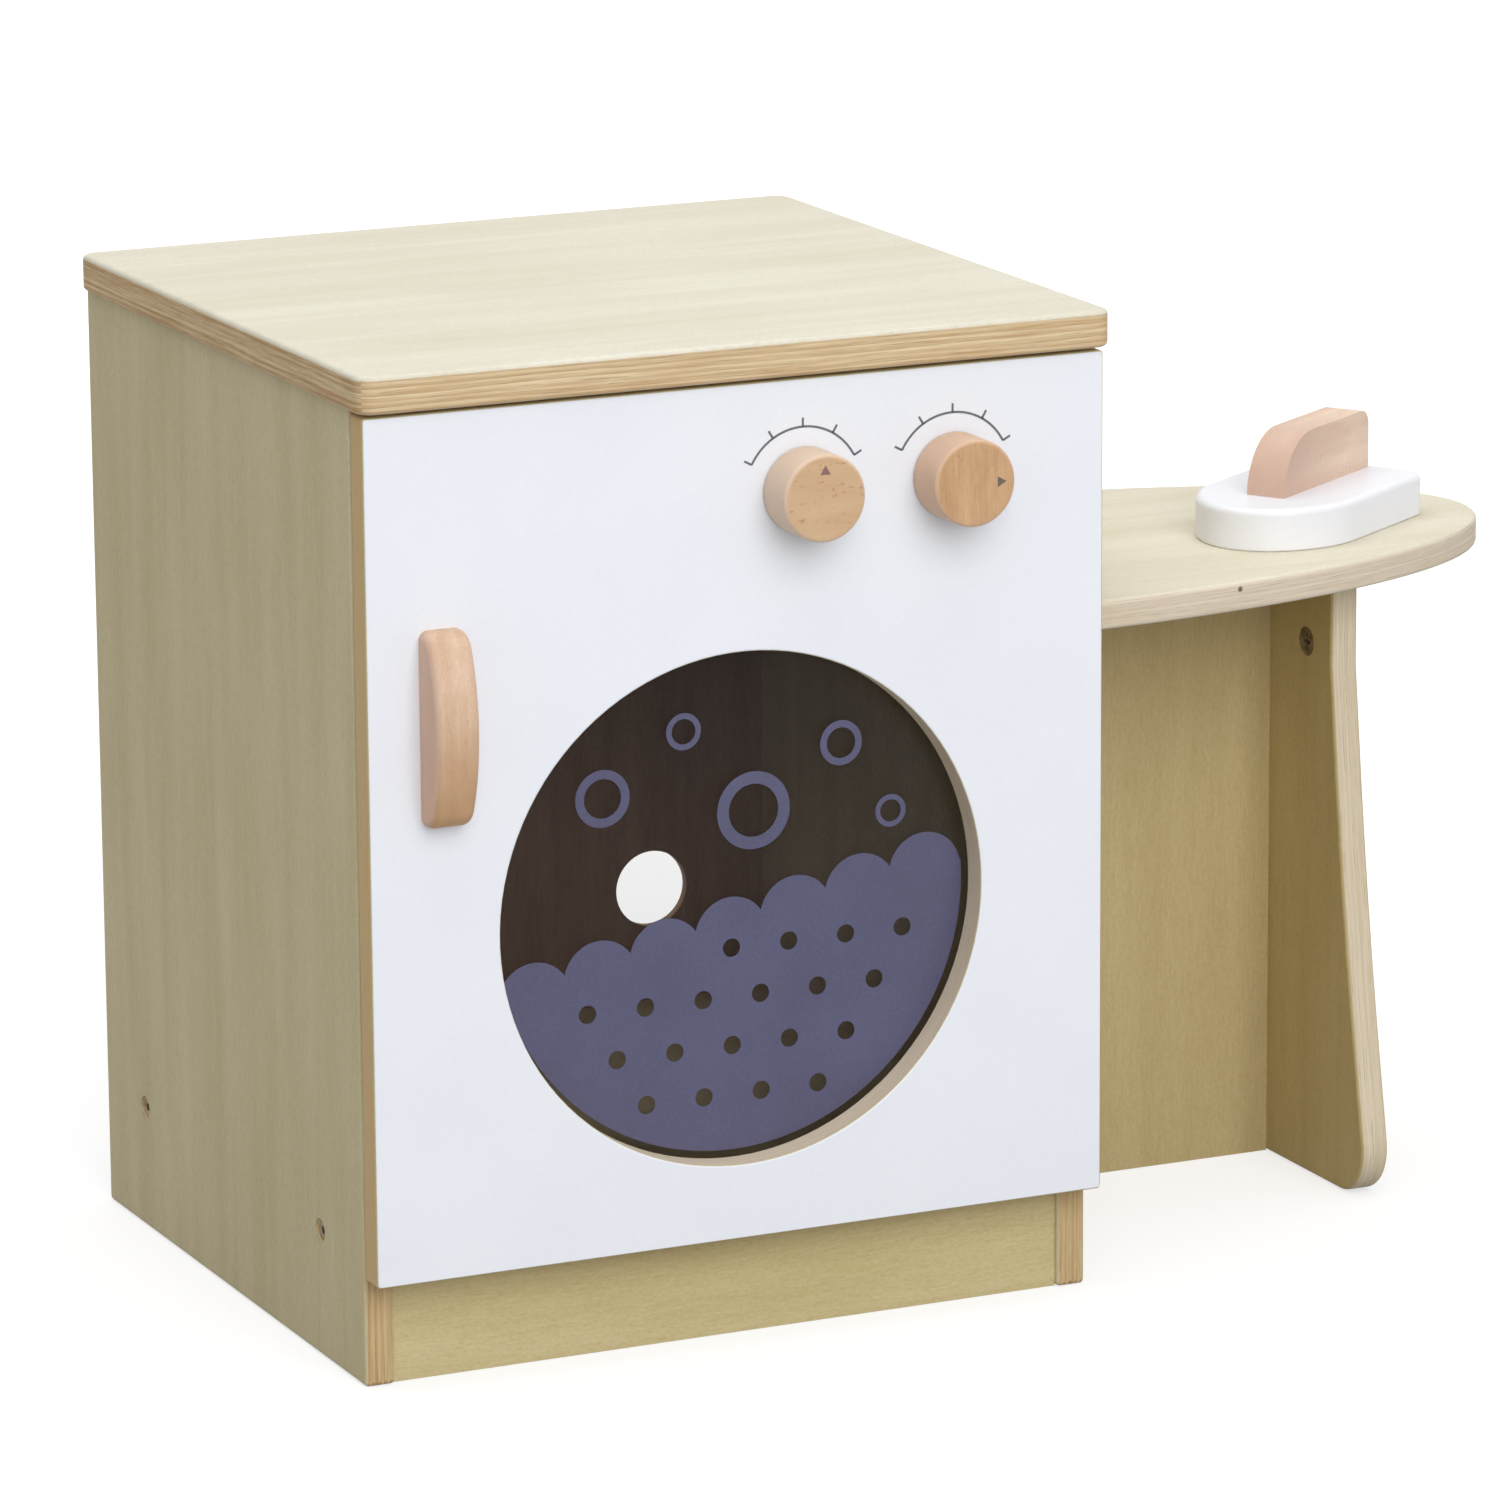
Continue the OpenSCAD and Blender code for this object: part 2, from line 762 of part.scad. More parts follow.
module window_print() {
  color(print_violet) at_cabinet()
    translate([0, door_back_y, window_z]) rotate([90, 0, 0]) linear_extrude(film_t) {
      difference() {
        film_suds();
        film_drum_holes();
      }
      for (ring = print_rings) {
        translate([ring[0], ring[1]]) difference() {
          circle(r = ring[2]);
          circle(r = ring[2] * (1 - ring_wall));
        }
      }
    }
}

module pane_screws() {
  color(steel) at_cabinet() at_pane_screws() pan_screw(pane_screw_l);
}

// Side view of the door handle, its base on the axis, drawn in by e.
// The bow runs into a corner circle at each end, and the hull around it closes what is left between them
module handle_profile(e) {
  rise = handle_proud - handle_end;
  r = (handle_h * handle_h / 4 + rise * rise) / (2 * rise);
  corner_x = handle_h / 2 - handle_end_r;
  corner_y = handle_proud - r + sqrt(pow(r - handle_end_r, 2) - pow(corner_x, 2));
  base = max(corner_y, lap);
  translate([-handle_h / 2 + e, 0]) square([handle_h - 2 * e, base]);
  intersection() {
    translate([-corner_x, 0]) square([2 * corner_x, handle_proud]);
    translate([0, handle_proud - r]) circle(r = r - e, $fn = 180);
  }
  for (s = [-1, 1]) intersection() {
    translate([s * corner_x, base]) circle(r = handle_end_r - e, $fn = 96);
    translate([-handle_h / 2, 0]) square([handle_h, handle_proud]);
  }
}

// The handle's middle is full size, and its long edges are eased
module handle_body() {
  e = wood_edge_r;
  hull() {
    translate([0, 0, -handle_w / 2]) linear_extrude(handle_w) handle_profile(e);
    translate([0, 0, -handle_w / 2 + e]) linear_extrude(handle_w - 2 * e) handle_profile(0);
  }
}

module door_handle() {
  color(beech) at_cabinet() difference() {
    translate([-half_w + handle_inset, door_front_y, handle_z])
      rotate([0, -90, 180]) handle_body();
    at_handle_screws() wood_screw_room(handle_screw_l);
  }
}

module handle_screws() {
  color(steel) at_cabinet() at_handle_screws()
    wood_screw(handle_screw_l);
}

// Repeats its children at knob i, with +Z pointing out of the door's front
module at_knob(i, y) {
  translate([knob_xs[i], y, knob_z]) rotate([90, 0, 0]) children();
}

module knob(i) {
  r = knob_d / 2;
  e = knob_edge_r;
  color(beech) at_cabinet() at_knob(i, knob_back_y) difference() {
    rotate_extrude() union() {
      square([r - e, knob_l]);
      translate([0, knob_back_ease]) square([r, knob_l - e - knob_back_ease]);
      translate([r - e, knob_l - e]) circle(r = e);
    }
    translate([0, 0, -cut]) cylinder(h = insert_l + tip_room + cut, r = insert_d / 2 + run_gap);
  }
}

module knob_insert(i) {
  color(brass) at_cabinet() at_knob(i, knob_back_y) difference() {
    cylinder(h = insert_l, d = insert_d);
    translate([0, 0, -cut]) cylinder(h = insert_l + 2 * cut, r = bolt_d / 2 + run_gap);
  }
}

// Button-head bolt that carries a knob: head behind the door, point in the insert
module knob_bolt(i) {
  shank_l = bolt_seat_y - knob_back_y + insert_l;
  color(steel) at_cabinet() at_knob(i, bolt_seat_y) difference() {
    union() {
      translate([0, 0, -bolt_head_h]) cylinder(h = bolt_head_h, d1 = bolt_head_d * 0.6, d2 = bolt_head_d);
      cylinder(h = shank_l, d = bolt_d);
    }
    translate([0, 0, -bolt_head_h - cut]) cylinder(h = bolt_key_l + cut, d = bolt_key_d, $fn = 6);
  }
}

// Thin nylon spacer between a knob and the door
module knob_spacer(i) {
  color(cream) at_cabinet() at_knob(i, knob_back_y + spacer_t) ring_plate(spacer_d, spacer_t);
}

// Steel washer under a knob bolt's head
module knob_washer(i) {
  color(steel) at_cabinet() at_knob(i, bolt_seat_y) ring_plate(washer_d, washer_t);
}

module ring_plate(d, t) {
  difference() {
    cylinder(h = t, d = d);
    translate([0, 0, -cut]) cylinder(h = t + 2 * cut, r = bolt_d / 2 + run_gap);
  }
}

// Leaf on side s of the gap (1 on the cabinet, -1 on the door) with the knuckles it carries
module hinge_leaf(s, z) {
  span = hinge_l / 2;
  plate_y = s > 0 ? axial_gap / 2 : -axial_gap / 2 - leaf_t;
  ends = s > 0 ? [[-span, -span + knuckle_end_h - knuckle_gap], [span - knuckle_end_h + knuckle_gap, span]]
    : [[-span + knuckle_end_h, span - knuckle_end_h]];
  translate([hinge_x, hinge_y, z]) difference() {
    union() {
      translate([half_w - hinge_leaf_w - hinge_x, plate_y, -span])
        cube([hinge_leaf_w - run_gap, leaf_t, hinge_l]);
      for (e = ends) {
        translate([half_w - hinge_x - lap, plate_y, e[0]])
          cube([hinge_x - half_w + lap, leaf_t, e[1] - e[0]]);
        translate([0, 0, e[0]]) cylinder(h = e[1] - e[0], r = knuckle_r, $fn = 48);
      }
    }
    translate([0, 0, -span - cut]) cylinder(h = hinge_l + 2 * cut, r = hinge_pin_d / 2 + run_gap, $fn = 48);
  }
}

module hinge_leaves(s) {
  color(brass) at_cabinet() difference() {
    for (z = hinge_zs) {
      hinge_leaf(s, z);
    }
    at_hinge_screws(s) flat_screw(hinge_screw_l, hinge_screw_d, hinge_screw_head_d, run_gap);
  }
}

module hinge_pins() {
  color(steel) at_cabinet() for (z = hinge_zs) {
    translate([hinge_x, hinge_y, z - hinge_l / 2]) cylinder(h = hinge_l, d = hinge_pin_d, $fn = 48);
    translate([hinge_x, hinge_y, z + hinge_l / 2])
      cylinder(h = pin_head_h, d1 = knuckle_d * 0.9, d2 = knuckle_d * 0.6, $fn = 48);
  }
}

module hinge_screws(s) {
  color(brass) at_cabinet() at_hinge_screws(s)
    flat_screw(hinge_screw_l, hinge_screw_d, hinge_screw_head_d, 0);
}

// Magnet catch under the top panel: a moulded block with two ears
module catch_body() {
  color(cream) at_cabinet() difference() {
    translate([catch_x, catch_front_y, side_h]) {
      translate([-catch_w / 2, 0, -catch_ear_h]) cube([catch_w, catch_d, catch_ear_h]);
      translate([-catch_core_w / 2, 0, -catch_h]) cube([catch_core_w, catch_d, catch_h]);
    }
    translate([catch_x - magnet_w / 2 - run_gap, catch_front_y - cut, strike_z - magnet_h / 2 - run_gap])
      cube([magnet_w + 2 * run_gap, catch_d - catch_back + cut, magnet_h + 2 * run_gap]);
    at_catch_screws() small_screw_hole(catch_ear_h);
  }
}

module catch_magnet() {
  color(zinc) at_cabinet()
    translate([catch_x - magnet_w / 2, magnet_front_y, strike_z - magnet_h / 2])
      cube([magnet_w, catch_d - catch_back + catch_lead - run_gap, magnet_h]);
}

module catch_screws() {
  color(steel) at_cabinet() at_catch_screws() pan_screw(catch_screw_l);
}

module strike_plate() {
  color(steel) at_cabinet() difference() {
    translate([catch_x - strike_w / 2, door_back_y, strike_z - strike_h / 2])
      cube([strike_w, strike_t, strike_h]);
    at_strike_screws() small_screw_hole(strike_t);
  }
}

module strike_screws() {
  color(steel) at_cabinet() at_strike_screws() pan_screw(strike_screw_l);
}

// Felt dots that the closed door rests on
module door_bumpers() {
  color(felt) at_cabinet() for (z = bumper_zs) {
    translate([-side_mid, front_y, z]) rotate([90, 0, 0]) cylinder(h = door_gap - run_gap, d = bumper_d);
  }
}

// Plan of the ironing board: half an ellipse that leaves the cabinet square
module board_plan() {
  steps = 48;
  polygon([for (i = [0 : steps]) [board_l * sin(i * 180 / steps), -board_w / 2 * cos(i * 180 / steps)]]);
}

module ironing_board() {
  color(ply_top) at_cabinet() difference() {
    translate([half_w, 0, board_bottom]) linear_extrude(panel_t) board_plan();
    at_board_screws() panel_screw_room();
    at_leg_cams() cam_bolt_room(leg_cam_drop);
  }
}

module spine_panel() {
  color(ply) at_cabinet() difference() {
    translate([half_w, -panel_t / 2, 0]) cube([spine_l, panel_t, board_bottom]);
    at_spine_screws() panel_screw_room();
    at_leg_screws() panel_screw_room();
  }
}

// Front view of the leg: straight below the board, spreading to round corners at the floor
module leg_outline() {
  top = leg_top_w / 2;
  shoulder_z = board_bottom - leg_straight_h;
  corner_y = leg_foot_w / 2 - leg_corner_r;
  dy = corner_y - top;
  dz = shoulder_z - leg_corner_r;
  slope = atan2(dy, dz) + asin(leg_corner_r / sqrt(dy * dy + dz * dz));
  foot = [corner_y + leg_corner_r * cos(slope), leg_corner_r + leg_corner_r * sin(slope)];
  steps = 8;
  flank = [for (i = [0 : steps])
    [foot[0] + (top - foot[0]) * i / steps - leg_waist * sin(i * 180 / steps),
     foot[1] + (shoulder_z - foot[1]) * i / steps]];
  for (s = [0, 1]) {
    mirror([s, 0]) {
      polygon(concat([[-lap, 0], [corner_y, 0]], flank, [[top, board_bottom], [-lap, board_bottom]]));
      translate([corner_y, leg_corner_r]) circle(r = leg_corner_r);
    }
  }
}

module leg_panel() {
  color(ply) at_cabinet() difference() {
    translate([leg_x, 0, 0]) rotate([90, 0, 90]) linear_extrude(panel_t) leg_outline();
    at_leg_screws() panel_screw_room();
    at_leg_cams() {
      cam_bolt_room(leg_cam_drop);
      cam_in_side(1) translate([0, 0, -cut]) cylinder(h = cam_bore_l + cut, r = cam_d / 2 + run_gap);
    }
  }
}

module board_screws() {
  color(zinc) at_cabinet() at_board_screws() panel_screw();
}

module spine_screws() {
  color(zinc) at_cabinet() at_spine_screws() panel_screw();
}

module leg_screws() {
  color(zinc) at_cabinet() at_leg_screws() panel_screw();
}

module leg_cams() {
  color(zinc) at_cabinet() at_leg_cams() cam_in_side(1) rotate([0, 0, 180]) cam_lock();
}

module leg_cam_bolts() {
  color(steel) at_cabinet() at_leg_cams() cam_bolt(leg_cam_drop);
}

// Places the iron on the board, heel at the origin and nose along -X
module on_board() {
  translate([half_w + iron_x, iron_y, board_top]) rotate([0, 0, iron_turn]) children();
}

module iron_outline() {
  hw = iron_w / 2;
  offset_y = iron_side_r - hw;
  nose_dx = sqrt(pow(iron_side_r - iron_nose_r, 2) - offset_y * offset_y);
  start = nose_dx + iron_nose_r - iron_l;
  tip_x = start - nose_dx;
  tangent_x = start - nose_dx * iron_side_r / (iron_side_r - iron_nose_r);
  intersection() {
    translate([start, -offset_y]) circle(r = iron_side_r, $fn = 180);
    translate([start, offset_y]) circle(r = iron_side_r, $fn = 180);
    translate([tangent_x, -hw]) square([start - tangent_x, iron_w]);
  }
  translate([tip_x, 0]) circle(r = iron_nose_r);
  translate([start - lap, -hw]) square([lap - start - iron_heel_r, iron_w]);
  translate([-iron_heel_r - lap, -hw + iron_heel_r]) square([iron_heel_r + lap, iron_w - 2 * iron_heel_r]);
  for (s = [-1, 1]) {
    translate([-iron_heel_r, s * (hw - iron_heel_r)]) circle(r = iron_heel_r);
  }
}

module at_iron_screws() {
  for (x = grip_screw_xs) {
    translate([-x, 0, 0]) children();
  }
}

module iron_body() {
  color("white") at_cabinet() on_board() difference() {
    linear_extrude(iron_t) iron_outline();
    at_iron_screws() wood_screw_room(grip_screw_l);
  }
}

// Side view of the iron's handle: a quarter round at the nose end, a small corner at the heel, drawn in by e
module grip_profile(e) {
  r = grip_h - e;
  corner = grip_heel_r;
  span = grip_l - grip_h + lap - e;
  translate([-grip_l + grip_h, 0]) intersection() {
    circle(r = r, $fn = 128);
    translate([-r, 0]) square([r, r]);
  }
  translate([-grip_l + grip_h - lap, 0]) square([span, r - corner]);
  translate([-grip_l + grip_h - lap, 0]) square([span - corner, r]);
  translate([-e - corner, r - corner]) circle(r = corner, $fn = 48);
}

module iron_handle() {
  e = wood_edge_r;
  color(beech) at_cabinet() on_board() difference() {
    translate([-grip_inset, 0, iron_t]) rotate([90, 0, 0]) hull() {
      translate([0, 0, -grip_w / 2]) linear_extrude(grip_w) grip_profile(e);
      translate([0, 0, -grip_w / 2 + e]) linear_extrude(grip_w - 2 * e) grip_profile(0);
    }
    at_iron_screws() wood_screw_room(grip_screw_l);
  }
}

module iron_screws() {
  color(steel) at_cabinet() on_board() at_iron_screws()
    wood_screw(grip_screw_l);
}

top_panel();
left_side();
right_side();
bottom_shelf();
kick_board();
back_panel();
back_screws();
top_cams();
top_cam_bolts();
top_dowels();
shelf_screws();
kick_screws();
door_panel();
window_pane();
window_print();
pane_screws();
door_handle();
handle_screws();
knob(0);  // knob_left
knob(1);  // knob_right
knob_insert(0);  // knob_left_insert
knob_insert(1);  // knob_right_insert
knob_bolt(0);  // knob_left_bolt
knob_bolt(1);  // knob_right_bolt
knob_spacer(0);  // knob_left_spacer
knob_spacer(1);  // knob_right_spacer
knob_washer(0);  // knob_left_washer
knob_washer(1);  // knob_right_washer
hinge_leaves(1);  // hinge_frame_leaves
hinge_leaves(-1);  // hinge_door_leaves
hinge_pins();
hinge_screws(1);  // hinge_frame_screws
hinge_screws(-1);  // hinge_door_screws
catch_body();
catch_magnet();
catch_screws();
strike_plate();
strike_screws();
door_bumpers();
ironing_board();
spine_panel();
leg_panel();
board_screws();
spine_screws();
leg_screws();
leg_cams();
leg_cam_bolts();
iron_body();
iron_handle();
iron_screws();
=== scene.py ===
"""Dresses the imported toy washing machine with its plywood, paint, beech, acrylic and steel."""

import logging
import math
from dataclasses import dataclass, field
from enum import Enum
from typing import Any

import bmesh
import bpy
from mathutils import Matrix, Vector


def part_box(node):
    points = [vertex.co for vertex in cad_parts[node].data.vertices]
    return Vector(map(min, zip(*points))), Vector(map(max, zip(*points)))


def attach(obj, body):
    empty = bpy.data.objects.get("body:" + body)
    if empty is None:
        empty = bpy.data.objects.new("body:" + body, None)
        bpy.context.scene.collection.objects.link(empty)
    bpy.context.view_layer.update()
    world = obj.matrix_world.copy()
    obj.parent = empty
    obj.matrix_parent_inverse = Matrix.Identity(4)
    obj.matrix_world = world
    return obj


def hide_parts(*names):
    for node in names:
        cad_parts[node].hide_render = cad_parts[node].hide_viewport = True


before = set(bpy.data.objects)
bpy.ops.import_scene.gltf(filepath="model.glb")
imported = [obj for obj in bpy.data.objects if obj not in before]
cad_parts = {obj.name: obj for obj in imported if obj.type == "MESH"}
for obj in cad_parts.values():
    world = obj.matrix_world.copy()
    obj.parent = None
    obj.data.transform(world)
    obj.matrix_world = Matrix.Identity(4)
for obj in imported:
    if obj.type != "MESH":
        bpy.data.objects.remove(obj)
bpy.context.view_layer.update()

log = logging.getLogger("toy_washer")

MM = 0.001
ROUND = 0.5
NO_MATERIAL = -1
MERGE = 2e-6
FLAT_ANGLE = math.radians(0.4)
WELD = 0.05 * MM
SMALL_HOLE = 20 * MM
ON_PLANE = 0.02 * MM

Place = tuple[float, float, float]
Colour = tuple[float, float, float, float]


class Axis(Enum):
    """A direction of the part's frame."""

    X = 0
    Y = 1
    Z = 2


class Body(Enum):
    """The bodies that pieces ride on."""

    CABINET = "cabinet"
    DOOR = "door"
    KNOB_LEFT = "knob_left"
    KNOB_RIGHT = "knob_right"
    IRON = "iron"


class Slot(Enum):
    """The record's material slots, listed with each new piece."""

    PLY = "ply_wood"
    PLY_TOP = "ply_top_wood"
    PAINTED = "white_painted_wood"
    BEECH = "beech_wood"
    PRINT = "violet_print"


def srgb(code: str) -> Colour:
    """Turns an sRGB hex colour into linear light.

    Args:
        code: six hex digits after a hash sign.

    Returns:
        Linear red, green and blue, and an alpha of one.
    """
    parts = [int(code[i:i + 2], 16) / 255 for i in (1, 3, 5)]
    linear = [p / 12.92 if p <= 0.04045 else ((p + 0.055) / 1.055) ** 2.4 for p in parts]
    return (linear[0], linear[1], linear[2], 1.0)


class Graph:
    """The nodes of one material or of the world."""

    def __init__(self, owner: bpy.types.Material | bpy.types.World) -> None:
        """Starts with no nodes in a material or a world."""
        self.owner = owner
        self.owner.use_nodes = True
        self.tree = self.owner.node_tree
        self.tree.nodes.clear()

    def add(self, kind: str, inputs: dict[int | str, Any] | None = None, output: int | str = 0,
            **settings: Any) -> bpy.types.NodeSocket:
        """Adds a node with its settings, values and links.

        Args:
            kind: the node's type without its ShaderNode prefix.
            inputs: a value or a socket for each input, by name or index.
            output: the output that is wanted.
            settings: the node's own properties.

        Returns:
            The wanted output socket, or None where the node ends the tree.
        """
        node = self.tree.nodes.new("ShaderNode" + kind)
        for key, value in settings.items():
            setattr(node, key, value)
        for key, value in (inputs or {}).items():
            if isinstance(value, bpy.types.NodeSocket):
                self.tree.links.new(value, node.inputs[key])
            else:
                node.inputs[key].default_value = value
        return node.outputs[output] if node.outputs else None

    def pattern(self, place: bpy.types.NodeSocket, size: Place, detail: float = 2.0,
                twist: float = 0.0, shift: float = 0.0) -> bpy.types.NodeSocket:
        """Makes a noise whose blobs have a real size.

        Args:
            place: the point that the noise is read at, in metres.
            size: the size of a blob along each axis, in millimetres.
            detail: how many finer octaves it carries.
            twist: how far it is distorted.
            shift: moves the pattern, so that two pieces differ.

        Returns:
            The noise, from nought to one.
        """
        scale = [1 / (s * MM) for s in size]
        spot = self.add("Mapping", {"Vector": place, "Location": (shift, shift, shift), "Scale": scale})
        return self.add("TexNoise", {"Vector": spot, "Scale": 1.0, "Detail": detail, "Distortion": twist})

    def weigh(self, *parts: tuple[bpy.types.NodeSocket, float]) -> bpy.types.NodeSocket:
        """Adds values up, each times its weight."""
        total: Any = 0.0
        for value, weight in parts:
            total = self.add("Math", {0: value, 1: weight, 2: total}, operation="MULTIPLY_ADD")
        return total

    def spread(self, value: bpy.types.NodeSocket, low: float, high: float, to_low: float = 0.0,
               to_high: float = 1.0) -> bpy.types.NodeSocket:
        """Stretches a value from low..high to to_low..to_high and clamps it."""
        return self.add("MapRange", {0: value, 1: low, 2: high, 3: to_low, 4: to_high})

    def tint(self, share: Any, base: Any, other: Any) -> bpy.types.NodeSocket:
        """Mixes two colours by a share, where one gives the second colour."""
        return self.add("Mix", {0: share, 6: base, 7: other}, output=2, data_type="RGBA")

    def along_board(self, lo: Vector, hi: Vector, grain: Axis, thick: Axis) -> bpy.types.NodeSocket:
        """Gives a point in a board's own directions, measured from its middle.

        Args:
            lo: the board's lowest corner.
            hi: the board's highest corner.
            grain: the direction that the fibres run in.
            thick: the direction through the board.

        Returns:
            Along the grain, across it and through the board, in metres.
        """
        place = self.add("TexCoord", output="Object")
        middle = self.add("VectorMath", {0: place, 1: (lo + hi) / 2}, operation="SUBTRACT")
        parts = self.add("SeparateXYZ", {0: middle}).node.outputs
        across = 3 - grain.value - thick.value
        return self.add("CombineXYZ", {0: parts[grain.value], 1: parts[across], 2: parts[thick.value]})

    def close(self, shader: bpy.types.NodeSocket) -> bpy.types.Material:
        """Ends the material with its shader."""
        self.add("OutputMaterial", {"Surface": shader})
        return self.owner


@dataclass(frozen=True)
class BirchPly:
    """Birch plywood, sanded and lacquered: quiet cream faces, and edges that show every layer."""

    name: str
    grain: Axis
    thick: Axis
    face_pale: str = "#d7cba7"
    face_dark: str = "#c5b991"
    layer_pale: str = "#dcc498"
    layer_dark: str = "#b08c5a"
    glue: str = "#7f6038"
    glue_share: float = 0.65
    pore_share: float = 0.22
    layer: float = 1.5
    unevenness: float = 2.6
    veneer: tuple[float, float] = (1.1, 1.1)
    shift: float = 0.0
    rim: str | None = None
    knots: tuple[Place, ...] = ()
    painted: "WallPaint | None" = None

    def reaches(self, g: Graph, place: bpy.types.NodeSocket, half: float) -> bpy.types.NodeSocket:
        """Gives one within 2 mm of the board's outer edges along one direction."""
        from_middle = g.add("Math", {0: place}, operation="ABSOLUTE")
        return g.spread(from_middle, half - 2.5 * MM, half - 2.0 * MM)

    def make(self, lo: Vector, hi: Vector) -> bpy.types.Material:
        """Builds the material for a board.

        Args:
            lo: the board's lowest corner.
            hi: the board's highest corner.

        Returns:
            The finished material.
        """
        g = Graph(bpy.data.materials.new(self.name))
        half = (hi - lo) / 2
        board = g.along_board(lo, hi, self.grain, self.thick)
        along, across, depth = g.add("SeparateXYZ", {0: board}).node.outputs
        # The face: a long quiet figure, soft clouds, short fibres and pores, and a fine speckle
        figure = g.pattern(board, (280, 20, 20), 3, 0.5, self.shift)
        clouds = g.pattern(board, (110, 36, 36), 2, 0.0, self.shift)
        fibres = g.pattern(board, (14, 1.3, 1.3), 2, 0.0, self.shift)
        speckle = g.pattern(board, (2.4, 1.3, 1.3), 1, 0.0, self.shift)
        face_tone = g.weigh((figure, 0.34), (clouds, 0.2), (fibres, 0.22), (speckle, 0.24))
        face = g.tint(g.spread(face_tone, 0.38, 0.62), srgb(self.face_dark), srgb(self.face_pale))
        pores = g.pattern(board, (4.5, 0.9, 0.9), 1, 0.0, self.shift)
        face = g.tint(g.spread(pores, 0.6, 0.72, 0.0, self.pore_share), face, srgb(self.layer_dark))
        # The edge: layers of uneven thickness, each with its own tone, which also changes along it. Every
        # other layer lies crosswise, so the dark end grain changes places round a corner
        ends = self.reaches(g, along, half[self.grain.value])
        wander = g.pattern(board, (80, 80, 2.6), 1, 0.0, self.shift)
        lifted = g.add("Math", {0: wander, 1: self.unevenness * MM, 2: depth}, operation="MULTIPLY_ADD")
        count = g.add("Math", {0: lifted, 1: 1 / (self.layer * MM), 2: 40.0 + self.shift},
                      operation="MULTIPLY_ADD")
        index = g.add("Math", {0: count}, operation="FLOOR")
        odd = g.add("Math", {0: g.add("Math", {0: index, 1: ends}), 1: 1.0}, operation="PINGPONG")
        own = g.add("TexWhiteNoise", {"W": index}, noise_dimensions="1D")
        drift = g.pattern(board, (45, 45, 1.3), 2, 0.0, self.shift)
        streaks = g.pattern(board, (16, 16, 0.8), 2, 0.0, self.shift)
        layer_tone = g.weigh((odd, 0.18), (own, 0.26), (drift, 0.6), (streaks, 0.6), (ends, -0.09))
        # Across the grain the saw tears the fibres, and the layers stand out more
        contrast = g.add("Mix", {0: ends, 2: g.spread(layer_tone, 0.36, 1.16), 3: g.spread(layer_tone, 0.5, 0.98)})
        layers = g.tint(contrast, srgb(self.layer_dark), srgb(self.layer_pale))
        # Glue lines and torn fibres show as thin dark dashes, not as whole lines
        step = g.add("Math", {0: count}, operation="FRACT")
        line = g.spread(step, 0.0, 0.35, 1.0, 0.0)
        broken = g.spread(streaks, 0.48, 0.6, 0.0, self.glue_share)
        layers = g.tint(g.add("Math", {0: line, 1: broken}, operation="MULTIPLY"), layers, srgb(self.glue))
        # Painted shade: the board's outer edges take a darker rim colour than the edges inside it, for the shade on
        # them and in the gap under the top panel
        if self.rim:
            flanks = self.reaches(g, across, half[3 - self.grain.value - self.thick.value])
            outer = g.add("Math", {0: ends, 1: flanks}, operation="MAXIMUM")
            layers = g.tint(g.spread(outer, 0.0, 1.0, 0.0, 0.8), layers, srgb(self.rim))
        for knot in self.knots:
            away = g.add("VectorMath", {0: g.add("TexCoord", output="Object"), 1: knot}, output="Value",
                         operation="DISTANCE")
            layers = g.tint(g.spread(away, 0.8 * MM, 1.9 * MM, 0.9, 0.0), layers, srgb("#5a4030"))
        surface = half[self.thick.value]
        under, over = (surface - veneer * MM for veneer in self.veneer)
        blur = 0.15 * MM
        face_share = g.add("Math", {0: g.spread(depth, -under - blur, -under + blur, 1.0, 0.0),
                                    1: g.spread(depth, over - blur, over + blur)}, operation="MAXIMUM")
        colour = g.tint(face_share, layers, face)
        height = g.weigh((fibres, 0.6), (streaks, 0.4))
        gloss: Any = g.spread(fibres, 0.3, 0.7, 0.58, 0.7)
        if self.painted:
            near = g.add("Math", {0: depth}, operation="ABSOLUTE")
            coat_share = g.spread(near, surface - 0.42 * MM, surface - 0.3 * MM)
            colour = g.tint(coat_share, colour, self.painted.colour(g, board))
            gloss = g.add("Mix", {0: coat_share, 2: gloss, 3: self.painted.roughness})
        bump = g.add("Bump", {"Strength": 0.25, "Distance": 0.12 * MM, "Height": height})
        return g.close(g.add("BsdfPrincipled", {
            "Base Color": colour, "Roughness": gloss, "IOR": 1.5, "Specular IOR Level": 0.2, "Normal": bump}))


@dataclass(frozen=True)
class WallPaint:
    """White acrylic paint, sprayed and satin: even, faintly blue, with a trace of orange peel."""

    name: str
    pale: str = "#f0f3f9"
    dark: str = "#edf0f7"
    roughness: float = 0.42

    def colour(self, g: Graph, place: bpy.types.NodeSocket) -> bpy.types.NodeSocket:
        """Gives the paint's slightly uneven colour at a point."""
        cover = g.weigh((g.pattern(place, (60, 60, 60), 2), 0.6), (g.pattern(place, (2.4, 2.4, 2.4), 1), 0.4))
        return g.tint(g.spread(cover, 0.35, 0.65), srgb(self.dark), srgb(self.pale))

    def make(self) -> bpy.types.Material:
        """Builds the material for a piece that is painted all over."""
        g = Graph(bpy.data.materials.new(self.name))
        place = g.add("TexCoord", output="Object")
        peel = g.pattern(place, (1.6, 1.6, 1.6), 2)
        bump = g.add("Bump", {"Strength": 0.12, "Distance": 0.1 * MM, "Height": peel})
        return g.close(g.add("BsdfPrincipled", {
            "Base Color": self.colour(g, place), "Roughness": self.roughness, "IOR": 1.5,
            "Specular IOR Level": 0.4, "Normal": bump}))


